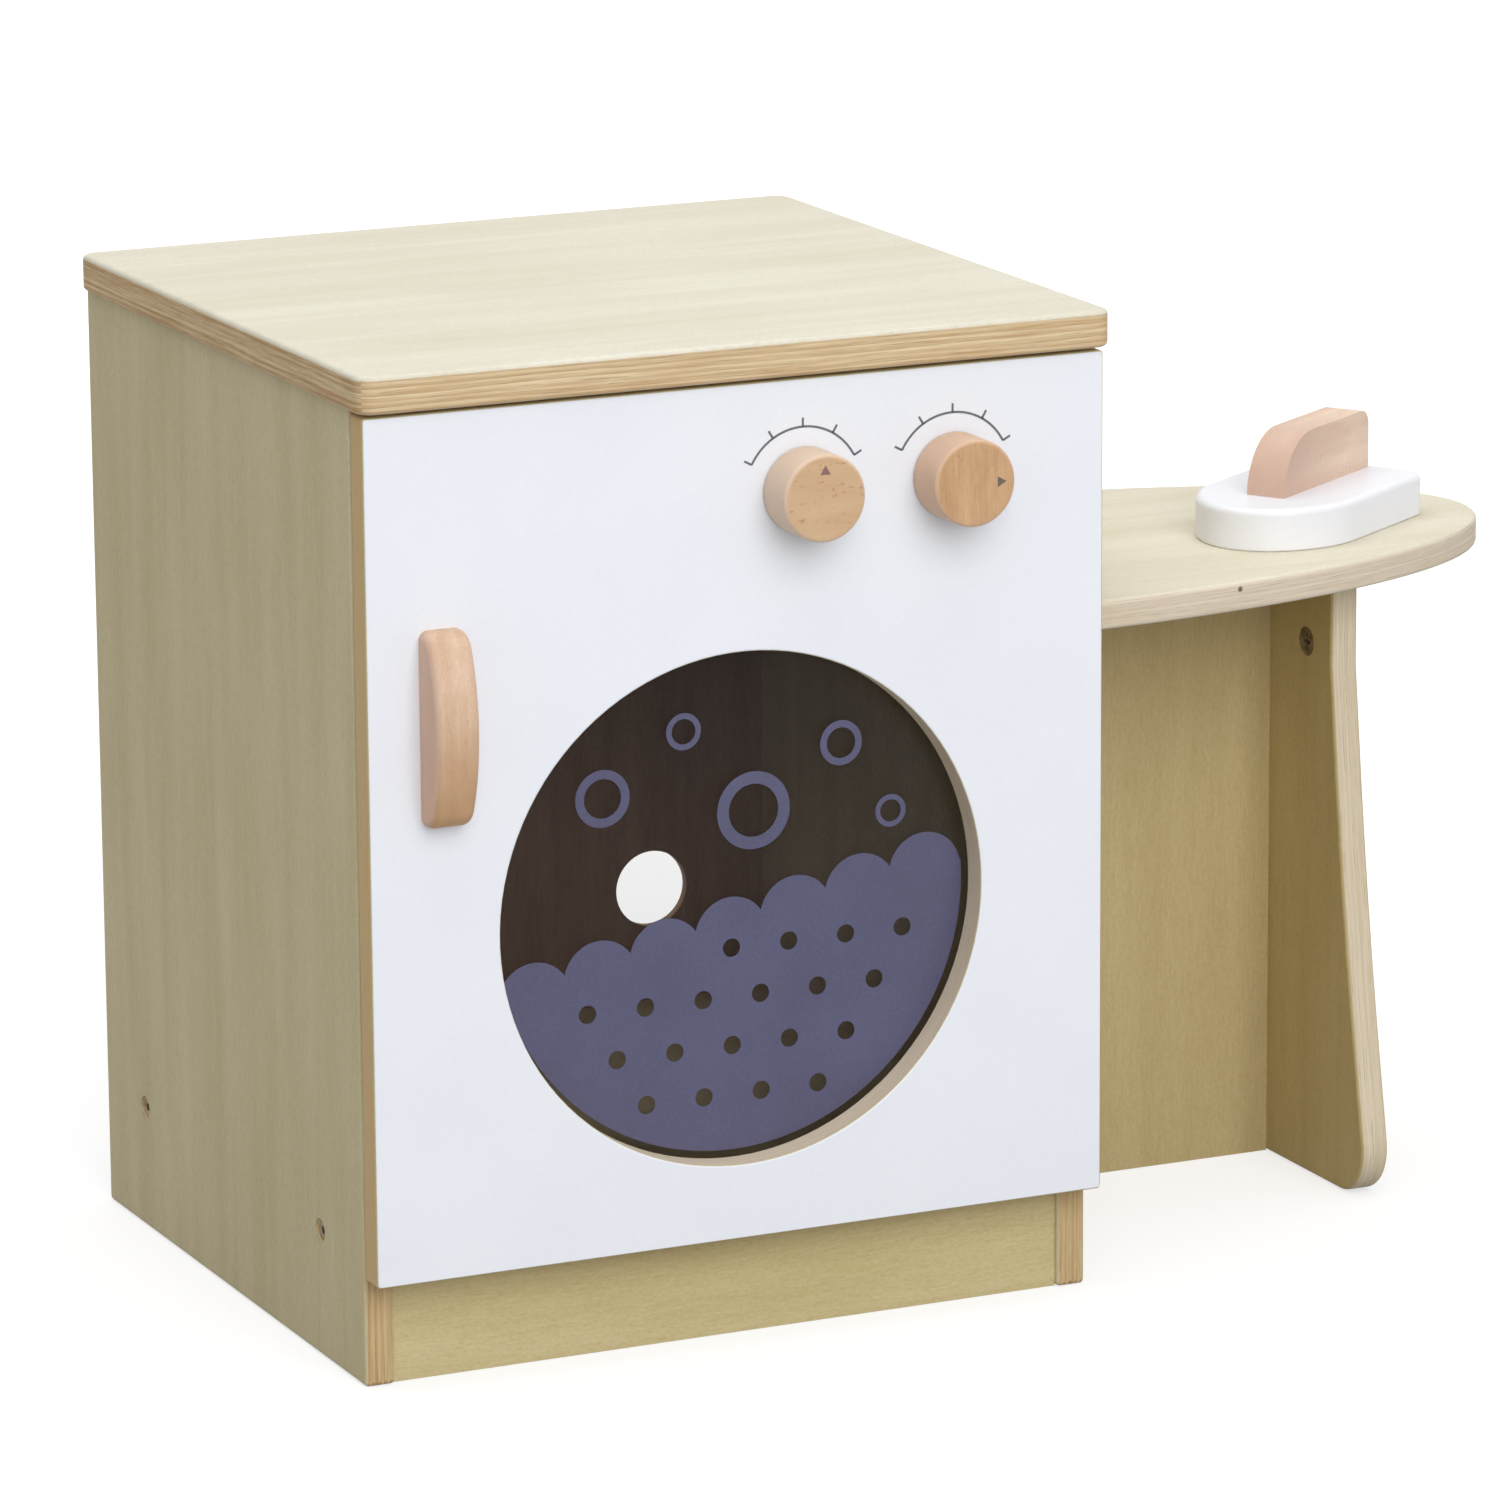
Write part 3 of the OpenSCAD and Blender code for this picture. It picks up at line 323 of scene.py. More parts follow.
@dataclass(frozen=True)
class SandedBeech:
    """Solid beech, sanded and oiled: warm tan with long soft bands and short dark flecks."""

    name: str
    grain: Axis
    thick: Axis
    pale: str = "#dcb48a"
    dark: str = "#bf8f62"
    fleck: str = "#9a6a42"
    band: float = 6.0
    fleck_share: float = 0.55
    fleck_size: tuple[float, float] = (2.6, 0.7)
    shift: float = 0.0
    turn: float = 0.0
    # Colour of the painted highlight on the sides, where more light falls
    flank_highlight: str | None = None
    turned: bool = False
    # Colour of the painted shade at the lower end of the grain
    shaded_end: str | None = None

    def make(self, lo: Vector, hi: Vector) -> bpy.types.Material:
        """Builds the material for a piece between two corners.

        Args:
            lo: the piece's lowest corner.
            hi: the piece's highest corner.

        Returns:
            The finished material.
        """
        g = Graph(bpy.data.materials.new(self.name))
        block = g.along_board(lo, hi, self.grain, self.thick)
        if self.turn:
            block = g.add("VectorRotate", {"Vector": block, "Angle": self.turn}, rotation_type="Z_AXIS")
        bands = g.pattern(block, (140, self.band, self.band * 1.6), 2, 0.4, self.shift)
        clouds = g.pattern(block, (22, 10, 10), 2, 0.0, self.shift)
        fibres = g.pattern(block, (16, 0.7, 0.7), 2, 0.0, self.shift)
        tone = g.weigh((bands, 0.45), (clouds, 0.3), (fibres, 0.25))
        colour = g.tint(g.spread(tone, 0.36, 0.64), srgb(self.dark), srgb(self.pale))
        # Rays: flecks about 2 mm long and half a millimetre wide, drawn as coarse as the render can show.
        # They stand in loose groups, so a slower noise lets them through
        long, wide = self.fleck_size
        rays = g.spread(g.pattern(block, (long, wide, wide), 1, 0.0, self.shift + 5), 0.6, 0.7)
        groups = g.spread(g.pattern(block, (16, 6, 6), 1, 0.0, self.shift + 9), 0.45, 0.6, 0.0, self.fleck_share)
        colour = g.tint(g.add("Math", {0: rays, 1: groups}, operation="MULTIPLY"), colour, srgb(self.fleck))
        along, across, _ = g.add("SeparateXYZ", {0: block}).node.outputs
        if self.shaded_end:
            # Painted shade: the colour turns browner towards the lower end of the grain, for the shade on that end
            reach = (hi - lo)[self.grain.value] / 2
            colour = g.tint(g.spread(along, -0.9 * reach, 0.5 * reach, 0.8, 0.0), colour, srgb(self.shaded_end))
        if self.flank_highlight:
            # Painted highlight: the sides are made paler than the face, for the light that falls on them
            half = (hi - lo)[3 - self.grain.value - self.thick.value] / 2
            plane = g.add("CombineXYZ", {0: along, 1: across}) if self.turned else g.add("CombineXYZ", {1: across})
            out = g.add("VectorMath", {0: plane}, output="Value", operation="LENGTH")
            colour = g.tint(g.spread(out, half - 1.8 * MM, half - 0.3 * MM, 0.0, 0.75), colour, srgb(self.flank_highlight))
        bump = g.add("Bump", {"Strength": 0.2, "Distance": 0.1 * MM, "Height": fibres})
        return g.close(g.add("BsdfPrincipled", {
            "Base Color": colour, "Roughness": g.spread(fibres, 0.3, 0.7, 0.52, 0.66), "IOR": 1.5,
            "Specular IOR Level": 0.3, "Normal": bump}))


@dataclass(frozen=True)
class SmokeAndShadeAcrylic:
    """Cast acrylic sheet, lightly smoked and polished: it dims what lies behind and barely mirrors; its tint is partly
    painted shade for the cabinet's dark inside.
    """

    name: str
    pale: str = "#443c43"
    dark: str = "#383037"
    cover: float = 0.11

    def make(self) -> bpy.types.Material:
        """Builds the see-through material, whose cover is that of one of the sheet's two faces."""
        g = Graph(bpy.data.materials.new(self.name))
        place = g.add("TexCoord", output="Object")
        haze = g.pattern(place, (30, 30, 30), 3)
        bump = g.add("Bump", {"Strength": 0.02, "Distance": 0.05 * MM, "Height": haze})
        return g.close(g.add("BsdfPrincipled", {
            "Base Color": g.tint(g.spread(haze, 0.3, 0.7), srgb(self.dark), srgb(self.pale)),
            "Roughness": g.spread(haze, 0.3, 0.7, 0.03, 0.08), "IOR": 1.49, "Alpha": self.cover, "Normal": bump}))


@dataclass(frozen=True)
class ScreenInk:
    """Screen-printed ink on film or wood: flat and matt, a little uneven where the mesh left it."""

    name: str
    pale: str
    dark: str
    cover: float = 1.0

    def make(self) -> bpy.types.Material:
        """Builds the ink, a little see-through where its cover is under one."""
        g = Graph(bpy.data.materials.new(self.name))
        place = g.add("TexCoord", output="Object")
        mesh = g.weigh((g.pattern(place, (1.4, 1.4, 1.4), 1), 0.5), (g.pattern(place, (35, 35, 35), 2), 0.5))
        colour = g.tint(g.spread(mesh, 0.35, 0.65), srgb(self.dark), srgb(self.pale))
        bump = g.add("Bump", {"Strength": 0.1, "Distance": 0.03 * MM, "Height": mesh})
        return g.close(g.add("BsdfPrincipled", {
            "Base Color": colour, "Roughness": g.spread(mesh, 0.3, 0.7, 0.4, 0.52), "IOR": 1.5,
            "Alpha": self.cover, "Normal": bump}))


@dataclass(frozen=True)
class TurnedMetal:
    """Plated or bare metal, turned or pressed: fine marks that break up its shine."""

    name: str
    pale: str
    dark: str
    rough: float = 0.3

    def make(self) -> bpy.types.Material:
        """Builds the metal with marks about a third of a millimetre apart."""
        g = Graph(bpy.data.materials.new(self.name))
        place = g.add("TexCoord", output="Object")
        marks = g.pattern(place, (4, 0.35, 0.35), 2)
        stain = g.pattern(place, (5, 5, 5), 2)
        bump = g.add("Bump", {"Strength": 0.15, "Distance": 0.04 * MM, "Height": marks})
        return g.close(g.add("BsdfPrincipled", {
            "Base Color": g.tint(g.spread(stain, 0.35, 0.65), srgb(self.dark), srgb(self.pale)),
            "Metallic": 1.0, "Roughness": g.spread(marks, 0.3, 0.7, self.rough, self.rough + 0.15),
            "Normal": bump}))


@dataclass(frozen=True)
class MouldedPlastic:
    """Injection-moulded ABS or nylon: fine spark-eroded texture and a soft sheen."""

    name: str
    pale: str
    dark: str

    def make(self) -> bpy.types.Material:
        """Builds the plastic with its texture of about 0.4 mm."""
        g = Graph(bpy.data.materials.new(self.name))
        place = g.add("TexCoord", output="Object")
        texture = g.pattern(place, (0.4, 0.4, 0.4), 2)
        flow = g.pattern(place, (12, 12, 12), 2)
        bump = g.add("Bump", {"Strength": 0.2, "Distance": 0.03 * MM, "Height": texture})
        return g.close(g.add("BsdfPrincipled", {
            "Base Color": g.tint(g.spread(flow, 0.35, 0.65), srgb(self.dark), srgb(self.pale)),
            "Roughness": g.spread(texture, 0.3, 0.7, 0.42, 0.55), "IOR": 1.46, "Normal": bump}))


@dataclass(frozen=True)
class PressedFelt:
    """Pressed wool felt: matt grey with tangled fibres and a faint fuzz."""

    name: str
    pale: str = "#6a635c"
    dark: str = "#4a443f"

    def make(self) -> bpy.types.Material:
        """Builds the felt with fibres about 2 mm long."""
        g = Graph(bpy.data.materials.new(self.name))
        place = g.add("TexCoord", output="Object")
        fibres = g.pattern(place, (0.5, 2.0, 0.5), 3, 1.5)
        bump = g.add("Bump", {"Strength": 0.5, "Distance": 0.2 * MM, "Height": fibres})
        return g.close(g.add("BsdfPrincipled", {
            "Base Color": g.tint(g.spread(fibres, 0.35, 0.65), srgb(self.dark), srgb(self.pale)),
            "Roughness": 0.95, "Sheen Weight": 0.25, "Normal": bump}))


@dataclass
class Piece:
    """A new mesh on its way to becoming a piece of the object."""

    name: str
    mesh: bmesh.types.BMesh
    finish: bpy.types.Material
    body: Body
    slot: Slot
    stands_for: tuple[str, ...] = ()
    sharp: float = 40.0

    def place(self) -> bpy.types.Object:
        """Turns the mesh into an object that rides on its body.

        Returns:
            The new object, at the origin, with its place in its mesh.
        """
        bmesh.ops.recalc_face_normals(self.mesh, faces=self.mesh.faces)
        data = bpy.data.meshes.new(self.name)
        self.mesh.to_mesh(data)
        self.mesh.free()
        data.materials.append(self.finish)
        data.polygons.foreach_set("use_smooth", [True] * len(data.polygons))
        data.set_sharp_from_angle(angle=math.radians(self.sharp))
        piece = bpy.data.objects.new(self.name, data)
        bpy.context.scene.collection.objects.link(piece)
        # Broad faces keep their own direction, so only the rounded edges shade from one to the other
        evened = piece.modifiers.new("Even normals", "WEIGHTED_NORMAL")
        evened.keep_sharp = True
        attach(piece, self.body.value)
        if self.stands_for:
            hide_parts(*self.stands_for)
        log.info("%s: %d faces on %s", self.name, len(data.polygons), self.body.value)
        return piece


def block(lo: Vector, hi: Vector) -> bmesh.types.BMesh:
    """Makes a box between two corners."""
    mesh = bmesh.new()
    bmesh.ops.create_cube(mesh, size=1.0)
    bmesh.ops.scale(mesh, vec=hi - lo, verts=mesh.verts)
    bmesh.ops.translate(mesh, vec=(lo + hi) / 2, verts=mesh.verts)
    return mesh


def soften(mesh: bmesh.types.BMesh, edges: list[bmesh.types.BMEdge], radius: float, segments: int) -> None:
    """Rounds edges.

    Args:
        mesh: the mesh that they belong to.
        edges: the edges to round.
        radius: how far the rounding reaches, in metres.
        segments: how many strips it has.
    """
    bmesh.ops.bevel(mesh, geom=edges, offset=radius, offset_type="OFFSET", affect="EDGES", segments=segments,
                    profile=ROUND, material=NO_MATERIAL, clamp_overlap=True)
    bmesh.ops.remove_doubles(mesh, verts=mesh.verts, dist=MERGE)


def on_plane(edge: bmesh.types.BMEdge, axis: Axis, height: float) -> bool:
    """Says whether both ends of an edge lie in a plane across an axis."""
    return all(abs(v.co[axis.value] - height) < ON_PLANE for v in edge.verts)


@dataclass(frozen=True)
class RoundedBoard:
    """A board's own solid with its square outer edges rounded by sanding."""

    node: str
    thick: Axis
    radius: float
    outline: bool = False
    square_at: tuple[tuple[Axis, int], ...] = ()
    segments: int = 4

    def takes(self, edge: bmesh.types.BMEdge, box: tuple[Vector, Vector]) -> bool:
        """Says whether an edge is one of those that are rounded.

        Args:
            edge: an edge of the welded solid.
            box: the solid's lowest and highest corner.

        Returns:
            True for square, outward edges that no neighbour covers.
        """
        if len(edge.link_faces) != 2 or not edge.is_convex:
            return False
        if not math.radians(60) < edge.calc_face_angle(0.0) < math.radians(120):
            return False
        if any(on_plane(edge, axis, box[end][axis.value]) for axis, end in self.square_at):
            return False
        planes = [axis for axis in Axis for end in (0, 1) if on_plane(edge, axis, box[end][axis.value])]
        return len(planes) > 1 or (self.outline and self.thick in planes)

    def round_off(self, mesh: bmesh.types.BMesh) -> None:
        """Rounds the edges that it takes, but not the rims of small holes."""
        mesh.normal_update()
        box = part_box(self.node)
        taken = [e for e in mesh.edges if self.takes(e, box)]
        left, wide = set(taken), set()
        for start in taken:
            if start not in left:
                continue
            left.remove(start)
            ring = [start]
            for edge in ring:
                beside = [e for v in edge.verts for e in v.link_edges if e in left]
                left.difference_update(beside)
                ring += dict.fromkeys(beside)
            spots = [v.co for e in ring for v in e.verts]
            if any(max(s[i] for s in spots) - min(s[i] for s in spots) > SMALL_HOLE for i in range(3)):
                wide.update(ring)
        soften(mesh, [e for e in taken if e in wide], self.radius, self.segments)

    def make(self) -> bmesh.types.BMesh:
        """Copies, welds and rounds the solid."""
        mesh = bmesh.new()
        mesh.from_mesh(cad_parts[self.node].data)
        bmesh.ops.remove_doubles(mesh, verts=mesh.verts, dist=WELD)
        bmesh.ops.dissolve_limit(mesh, angle_limit=FLAT_ANGLE, verts=mesh.verts, edges=mesh.edges)
        self.round_off(mesh)
        return mesh


def dress(material: bpy.types.Material, *nodes: str) -> None:
    """Gives CAD nodes that stay as they are a better material."""
    for name in nodes:
        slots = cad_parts[name].data.materials
        slots.clear()
        slots.append(material)
        log.info("%s: kept, %s", name, material.name)


@dataclass
class Cabinet:
    """The box of the machine: top, two sides, kick board, shelf and back."""

    top_radius: float = 2.5 * MM
    top_corner: float = 9 * MM
    side_radius: float = 2.2 * MM
    # Painted light and shade: the thin lower veneer lets the bottom rim show dark layers as painted shade, the thick
    # upper one keeps the top rim pale as a painted highlight, and the pale, greyish face stands partly for the sheen of
    # the lit top
    top_ply: BirchPly = BirchPly("Birch plywood, top", Axis.X, Axis.Z, face_pale="#ddd9ca",
                                 face_dark="#d0cab5", layer_pale="#e7d3ae", layer_dark="#b79365", veneer=(0.3, 2.0),
                                 shift=3.0)

    def build_top(self) -> None:
        """Builds the top panel with its round corners and edges."""
        lo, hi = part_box("top_panel")
        mesh = block(lo, hi)
        upright = [e for e in mesh.edges if abs(e.verts[0].co.z - e.verts[1].co.z) > self.top_corner]
        soften(mesh, upright, self.top_corner, 10)
        rims = [e for e in mesh.edges if on_plane(e, Axis.Z, lo.z) or on_plane(e, Axis.Z, hi.z)]
        soften(mesh, rims, self.top_radius, 5)
        Piece("top_board", mesh, self.top_ply.make(lo, hi), Body.CABINET, Slot.PLY_TOP, ("top_panel",)).place()

    def build_sides(self) -> None:
        """Builds both side panels, rounded where they stand free."""
        for i, name in enumerate(("left_side", "right_side")):
            board = RoundedBoard(name, Axis.X, self.side_radius, square_at=((Axis.Z, 1),))
            ply = BirchPly(f"Birch plywood, {name}", Axis.Z, Axis.X, shift=7.0 + 4 * i)
            Piece(f"{name}_board", board.make(), ply.make(*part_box(name)), Body.CABINET, Slot.PLY, (name,)).place()

    def dress_inside(self) -> None:
        """Dresses the boards that keep their own solids."""
        for i, (name, thick) in enumerate((("bottom_shelf", Axis.Z), ("kick_board", Axis.Y))):
            ply = BirchPly(f"Birch plywood, {name}", Axis.X, thick, face_pale="#d8c99c", face_dark="#c6b684",
                           shift=20.0 + 3 * i)
            dress(ply.make(*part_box(name)), name)
        # The back is thin plywood in a browner colour, which is painted shade: it keeps the inside dark behind the
        # window
        back = BirchPly("Shade-darkened plywood, back_panel", Axis.Z, Axis.Y, face_pale="#a08364", face_dark="#86694e",
                        layer_pale="#b79a78", layer_dark="#876a4d", glue="#5c4633", layer=1.2, shift=26.0)
        dress(back.make(*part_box("back_panel")), "back_panel")


@dataclass
class Door:
    """The white door with its window, print, handle and dial marks."""

    front: float = -170.5 * MM
    handle_x: float = -304 * MM
    handle_z: float = 320 * MM
    handle_h: float = 93 * MM
    handle_w: float = 22 * MM
    handle_proud: float = 22 * MM
    handle_arc: float = 103.8 * MM
    handle_end_round: float = 12 * MM
    handle_round: float = 4.5 * MM
    handle_files: int = 12
    dial_xs: tuple[float, float] = (-119 * MM, -41 * MM)
    dial_z: float = 415 * MM
    dial_r: float = 30 * MM
    dial_reach: float = 62.0
    line_w: float = 1.1 * MM
    line_t: float = 0.12 * MM
    tick_l: float = 4.3 * MM
    paint: WallPaint = WallPaint("Sprayed white paint, door")
    beech: SandedBeech = SandedBeech("Sanded beech, door handle", Axis.Z, Axis.Y, pale="#e3c7ae", dark="#cea98c",
                                     fleck_share=0.25, shift=2.0, flank_highlight="#dcb9a6", shaded_end="#b98f62")
    ink: ScreenInk = ScreenInk("Screen ink, dial grey", "#6e6f78", "#62636c")

    def build_panel(self) -> None:
        """Builds the painted door panel with its rounded window rim."""
        board = RoundedBoard("door_panel", Axis.Y, 1.2 * MM, outline=True, segments=3)
        # Painted light and shade: the pale layer colours stand for the light on the window's wall, and the rim colour
        # for the shade on the outer edges and in the gap under the top panel
        ply = BirchPly("White paint on birch plywood", Axis.Z, Axis.Y, layer_pale="#f0e3d0", layer_dark="#dcc8aa",
                       glue="#c4aa85", shift=31.0, rim="#c9a86c", painted=self.paint)
        Piece("door_board", board.make(), ply.make(*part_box("door_panel")), Body.DOOR, Slot.PAINTED,
              ("door_panel",), sharp=52.0).place()

    def build_handle(self) -> None:
        """Builds the bow-shaped handle from a slice of a disc."""
        mesh = bmesh.new()
        bmesh.ops.create_circle(mesh, cap_ends=True, segments=200, radius=self.handle_arc)
        upright = Matrix.Rotation(math.pi / 2, 3, "Y")
        bmesh.ops.rotate(mesh, cent=(0, 0, 0), matrix=upright, verts=mesh.verts)
        centre = Vector((self.handle_x - self.handle_w / 2, self.front - self.handle_proud + self.handle_arc,
                         self.handle_z))
        bmesh.ops.translate(mesh, vec=centre, verts=mesh.verts)
        cuts = [(Vector((0, self.front, 0)), Vector((0, 1, 0)))]
        # Each end is filed round by cuts that touch a circle, from the flat end to where the bow's arc begins
        reach, rise = self.handle_arc - self.handle_end_round, self.handle_h / 2 - self.handle_end_round
        for end in (1, -1):
            corner = centre + Vector((0, -math.sqrt(reach ** 2 - rise ** 2), end * rise))
            for i in range(self.handle_files):
                lean = math.acos(rise / reach) * i / self.handle_files
                away = Vector((0, -math.sin(lean), end * math.cos(lean)))
                cuts.append((corner + away * self.handle_end_round, away))
        for spot, away in cuts:
            bmesh.ops.bisect_plane(mesh, geom=mesh.verts[:] + mesh.edges[:] + mesh.faces[:], dist=MERGE,
                                   plane_co=spot, plane_no=away, clear_outer=True)
        grown = bmesh.ops.extrude_face_region(mesh, geom=mesh.faces[:])["geom"]
        bmesh.ops.translate(mesh, vec=(self.handle_w, 0, 0),
                            verts=[v for v in grown if isinstance(v, bmesh.types.BMVert)])
        bmesh.ops.recalc_face_normals(mesh, faces=mesh.faces)
        free = [e for e in mesh.edges if not on_plane(e, Axis.Y, self.front)
                and e.calc_face_angle(0.0) > math.radians(40)]
        soften(mesh, free, self.handle_round, 6)
        lo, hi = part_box("door_handle")
        Piece("door_bow_handle", mesh, self.beech.make(lo, hi), Body.DOOR, Slot.BEECH, ("door_handle",)).place()

    def build_dials(self) -> None:
        """Builds the printed dial marks above both knobs, a hair proud of the paint."""
        ink = self.ink.make()
        for side, x in zip(("left", "right"), self.dial_xs):
            centre = Vector((x, self.front, self.dial_z))
            reach = math.radians(self.dial_reach)
            out = Vector((0, -self.line_t / 2, self.dial_r))
            mesh = block(Vector((0, -self.line_t / 2, -self.line_w / 2)), Vector((0, self.line_t / 2, self.line_w / 2)))
            bmesh.ops.remove_doubles(mesh, verts=mesh.verts, dist=MERGE)
            bmesh.ops.translate(mesh, vec=out, verts=mesh.verts)
            bmesh.ops.rotate(mesh, cent=(0, 0, 0), matrix=Matrix.Rotation(-reach, 3, "Y"), verts=mesh.verts)
            bmesh.ops.delete(mesh, geom=mesh.faces[1:], context="FACES_ONLY")
            bmesh.ops.spin(mesh, geom=mesh.verts[:] + mesh.edges[:] + mesh.faces[:], cent=(0, 0, 0), axis=(0, 1, 0),
                           angle=2 * reach, steps=48, use_duplicate=False)
            for i in range(5):
                tick = bmesh.ops.create_cube(mesh, size=1.0)["verts"]
                bmesh.ops.scale(mesh, vec=(self.line_w, self.line_t, self.tick_l), verts=tick)
                bmesh.ops.translate(mesh, vec=out + Vector((0, 0, self.tick_l / 2)), verts=tick)
                turn = Matrix.Rotation(reach * (i - 2) / 2, 3, "Y")
                bmesh.ops.rotate(mesh, cent=(0, 0, 0), matrix=turn, verts=tick)
            bmesh.ops.translate(mesh, vec=centre, verts=mesh.verts)
            Piece(f"dial_marks_{side}", mesh, ink, Body.DOOR, Slot.PRINT).place()

    def dress_window(self) -> None:
        """Dresses the pane and the film printed with suds, drum holes and rings."""
        # Painted shade: the pane's tint also darkens the cabinet's inside seen through the window
        dress(SmokeAndShadeAcrylic("Cast acrylic, light smoke and painted inside shade").make(), "window_pane")
        dress(ScreenInk("Screen ink on film, violet", "#595878", "#4f4e6b", cover=0.93).make(), "window_print")


@dataclass
class Knob:
    """A turned beech knob with the small printed triangle that points at its dial."""

    node: str
    body: Body
    x: float
    finish: SandedBeech
    pointer_turn: float
    pointer_ink: ScreenInk
    z: float = 415 * MM
    back: float = -171.5 * MM
    radius: float = 21 * MM
    length: float = 23.85 * MM
    face_round: float = 2 * MM
    back_round: float = 0.6 * MM
    bore_r: float = 4.05 * MM
    bore_l: float = 13 * MM
    pointer_r: float = 13 * MM
    pointer_w: float = 5.2 * MM
    pointer_h: float = 4.6 * MM
    pointer_t: float = 0.12 * MM

    def build(self) -> None:
        """Builds the knob by spinning its half section."""
        mesh = bmesh.new()
        arc = [(self.radius - self.face_round + self.face_round * math.sin(a),
                self.length - self.face_round + self.face_round * math.cos(a))
               for a in (math.pi / 2 * (1 - i / 6) for i in range(7))]
        section = [(0.0, self.bore_l), (self.bore_r, self.bore_l), (self.bore_r, 0.0),
                   (self.radius - self.back_round, 0.0), (self.radius, self.back_round), *arc, (0.0, self.length)]
        points = [mesh.verts.new((r, -d, 0.0)) for r, d in section]
        for start, end in zip(points, points[1:]):
            mesh.edges.new((start, end))
        bmesh.ops.spin(mesh, geom=mesh.verts[:] + mesh.edges[:], cent=(0, 0, 0), axis=(0, 1, 0),
                       angle=2 * math.pi, steps=96, use_merge=True)
        bmesh.ops.remove_doubles(mesh, verts=mesh.verts, dist=MERGE)
        bmesh.ops.translate(mesh, vec=(self.x, self.back, self.z), verts=mesh.verts)
        Piece(f"{self.node}_turned", mesh, self.finish.make(*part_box(self.node)), self.body, Slot.BEECH,
              (self.node,)).place()

    def build_pointer(self) -> None:
        """Builds the printed triangle on the knob's face."""
        mesh = bmesh.new()
        bmesh.ops.create_circle(mesh, cap_ends=True, segments=3, radius=1.0)
        # The circle's triangle is 1.732 wide and 1.5 high, with its point along +Y
        bmesh.ops.scale(mesh, vec=(self.pointer_w / math.sqrt(3), self.pointer_h / 1.5, 1.0), verts=mesh.verts)
        bmesh.ops.translate(mesh, vec=(0, self.pointer_r, 0), verts=mesh.verts)
        bmesh.ops.rotate(mesh, cent=(0, 0, 0), matrix=Matrix.Rotation(math.pi / 2, 3, "X"), verts=mesh.verts)
        grown = bmesh.ops.extrude_face_region(mesh, geom=mesh.faces[:])["geom"]
        bmesh.ops.translate(mesh, vec=(0, -self.pointer_t, 0),
                            verts=[v for v in grown if isinstance(v, bmesh.types.BMVert)])
        bmesh.ops.rotate(mesh, cent=(0, 0, 0), matrix=Matrix.Rotation(self.pointer_turn, 3, "Y"), verts=mesh.verts)
        bmesh.ops.translate(mesh, vec=(self.x, self.back - self.length, self.z), verts=mesh.verts)
        Piece(f"{self.node}_pointer", mesh, self.pointer_ink.make(), self.body, Slot.PRINT).place()


@dataclass
class SideTable:
    """The ironing board on the machine's right, with its spine and leg."""

    board_round: float = 2.5 * MM
    leg_round: float = 2.2 * MM

    def build(self) -> None:
        """Builds the rounded board and leg, and dresses the spine between them."""
        board = RoundedBoard("ironing_board", Axis.Z, self.board_round, outline=True, square_at=((Axis.X, 0),))
        ply = BirchPly("Birch plywood, ironing board", Axis.X, Axis.Z, face_pale="#e2dcca", face_dark="#d6ceb7",
                       layer_pale="#e6dac8", layer_dark="#ccbaa0", glue="#9c8464", shift=41.0,
                       knots=((150.6 * MM, -101.4 * MM, 327.2 * MM),))
        Piece("ironing_top", board.make(), ply.make(*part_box("ironing_board")), Body.CABINET, Slot.PLY_TOP,
              ("ironing_board",)).place()
        leg = RoundedBoard("leg_panel", Axis.X, self.leg_round, outline=True, square_at=((Axis.Z, 1),))
        leg_ply = BirchPly("Birch plywood, leg", Axis.Z, Axis.X, face_pale="#cdb988", face_dark="#bba672",
                           layer_pale="#e2d6bf", layer_dark="#c6b494", glue="#9c8663", shift=47.0)
        Piece("table_leg", leg.make(), leg_ply.make(*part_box("leg_panel")), Body.CABINET, Slot.PLY,
              ("leg_panel",)).place()
        spine_ply = BirchPly("Birch plywood, spine", Axis.Z, Axis.Y, face_pale="#cdba8c", face_dark="#bca878",
                             shift=53.0)
        dress(spine_ply.make(*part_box("spine_panel")), "spine_panel")


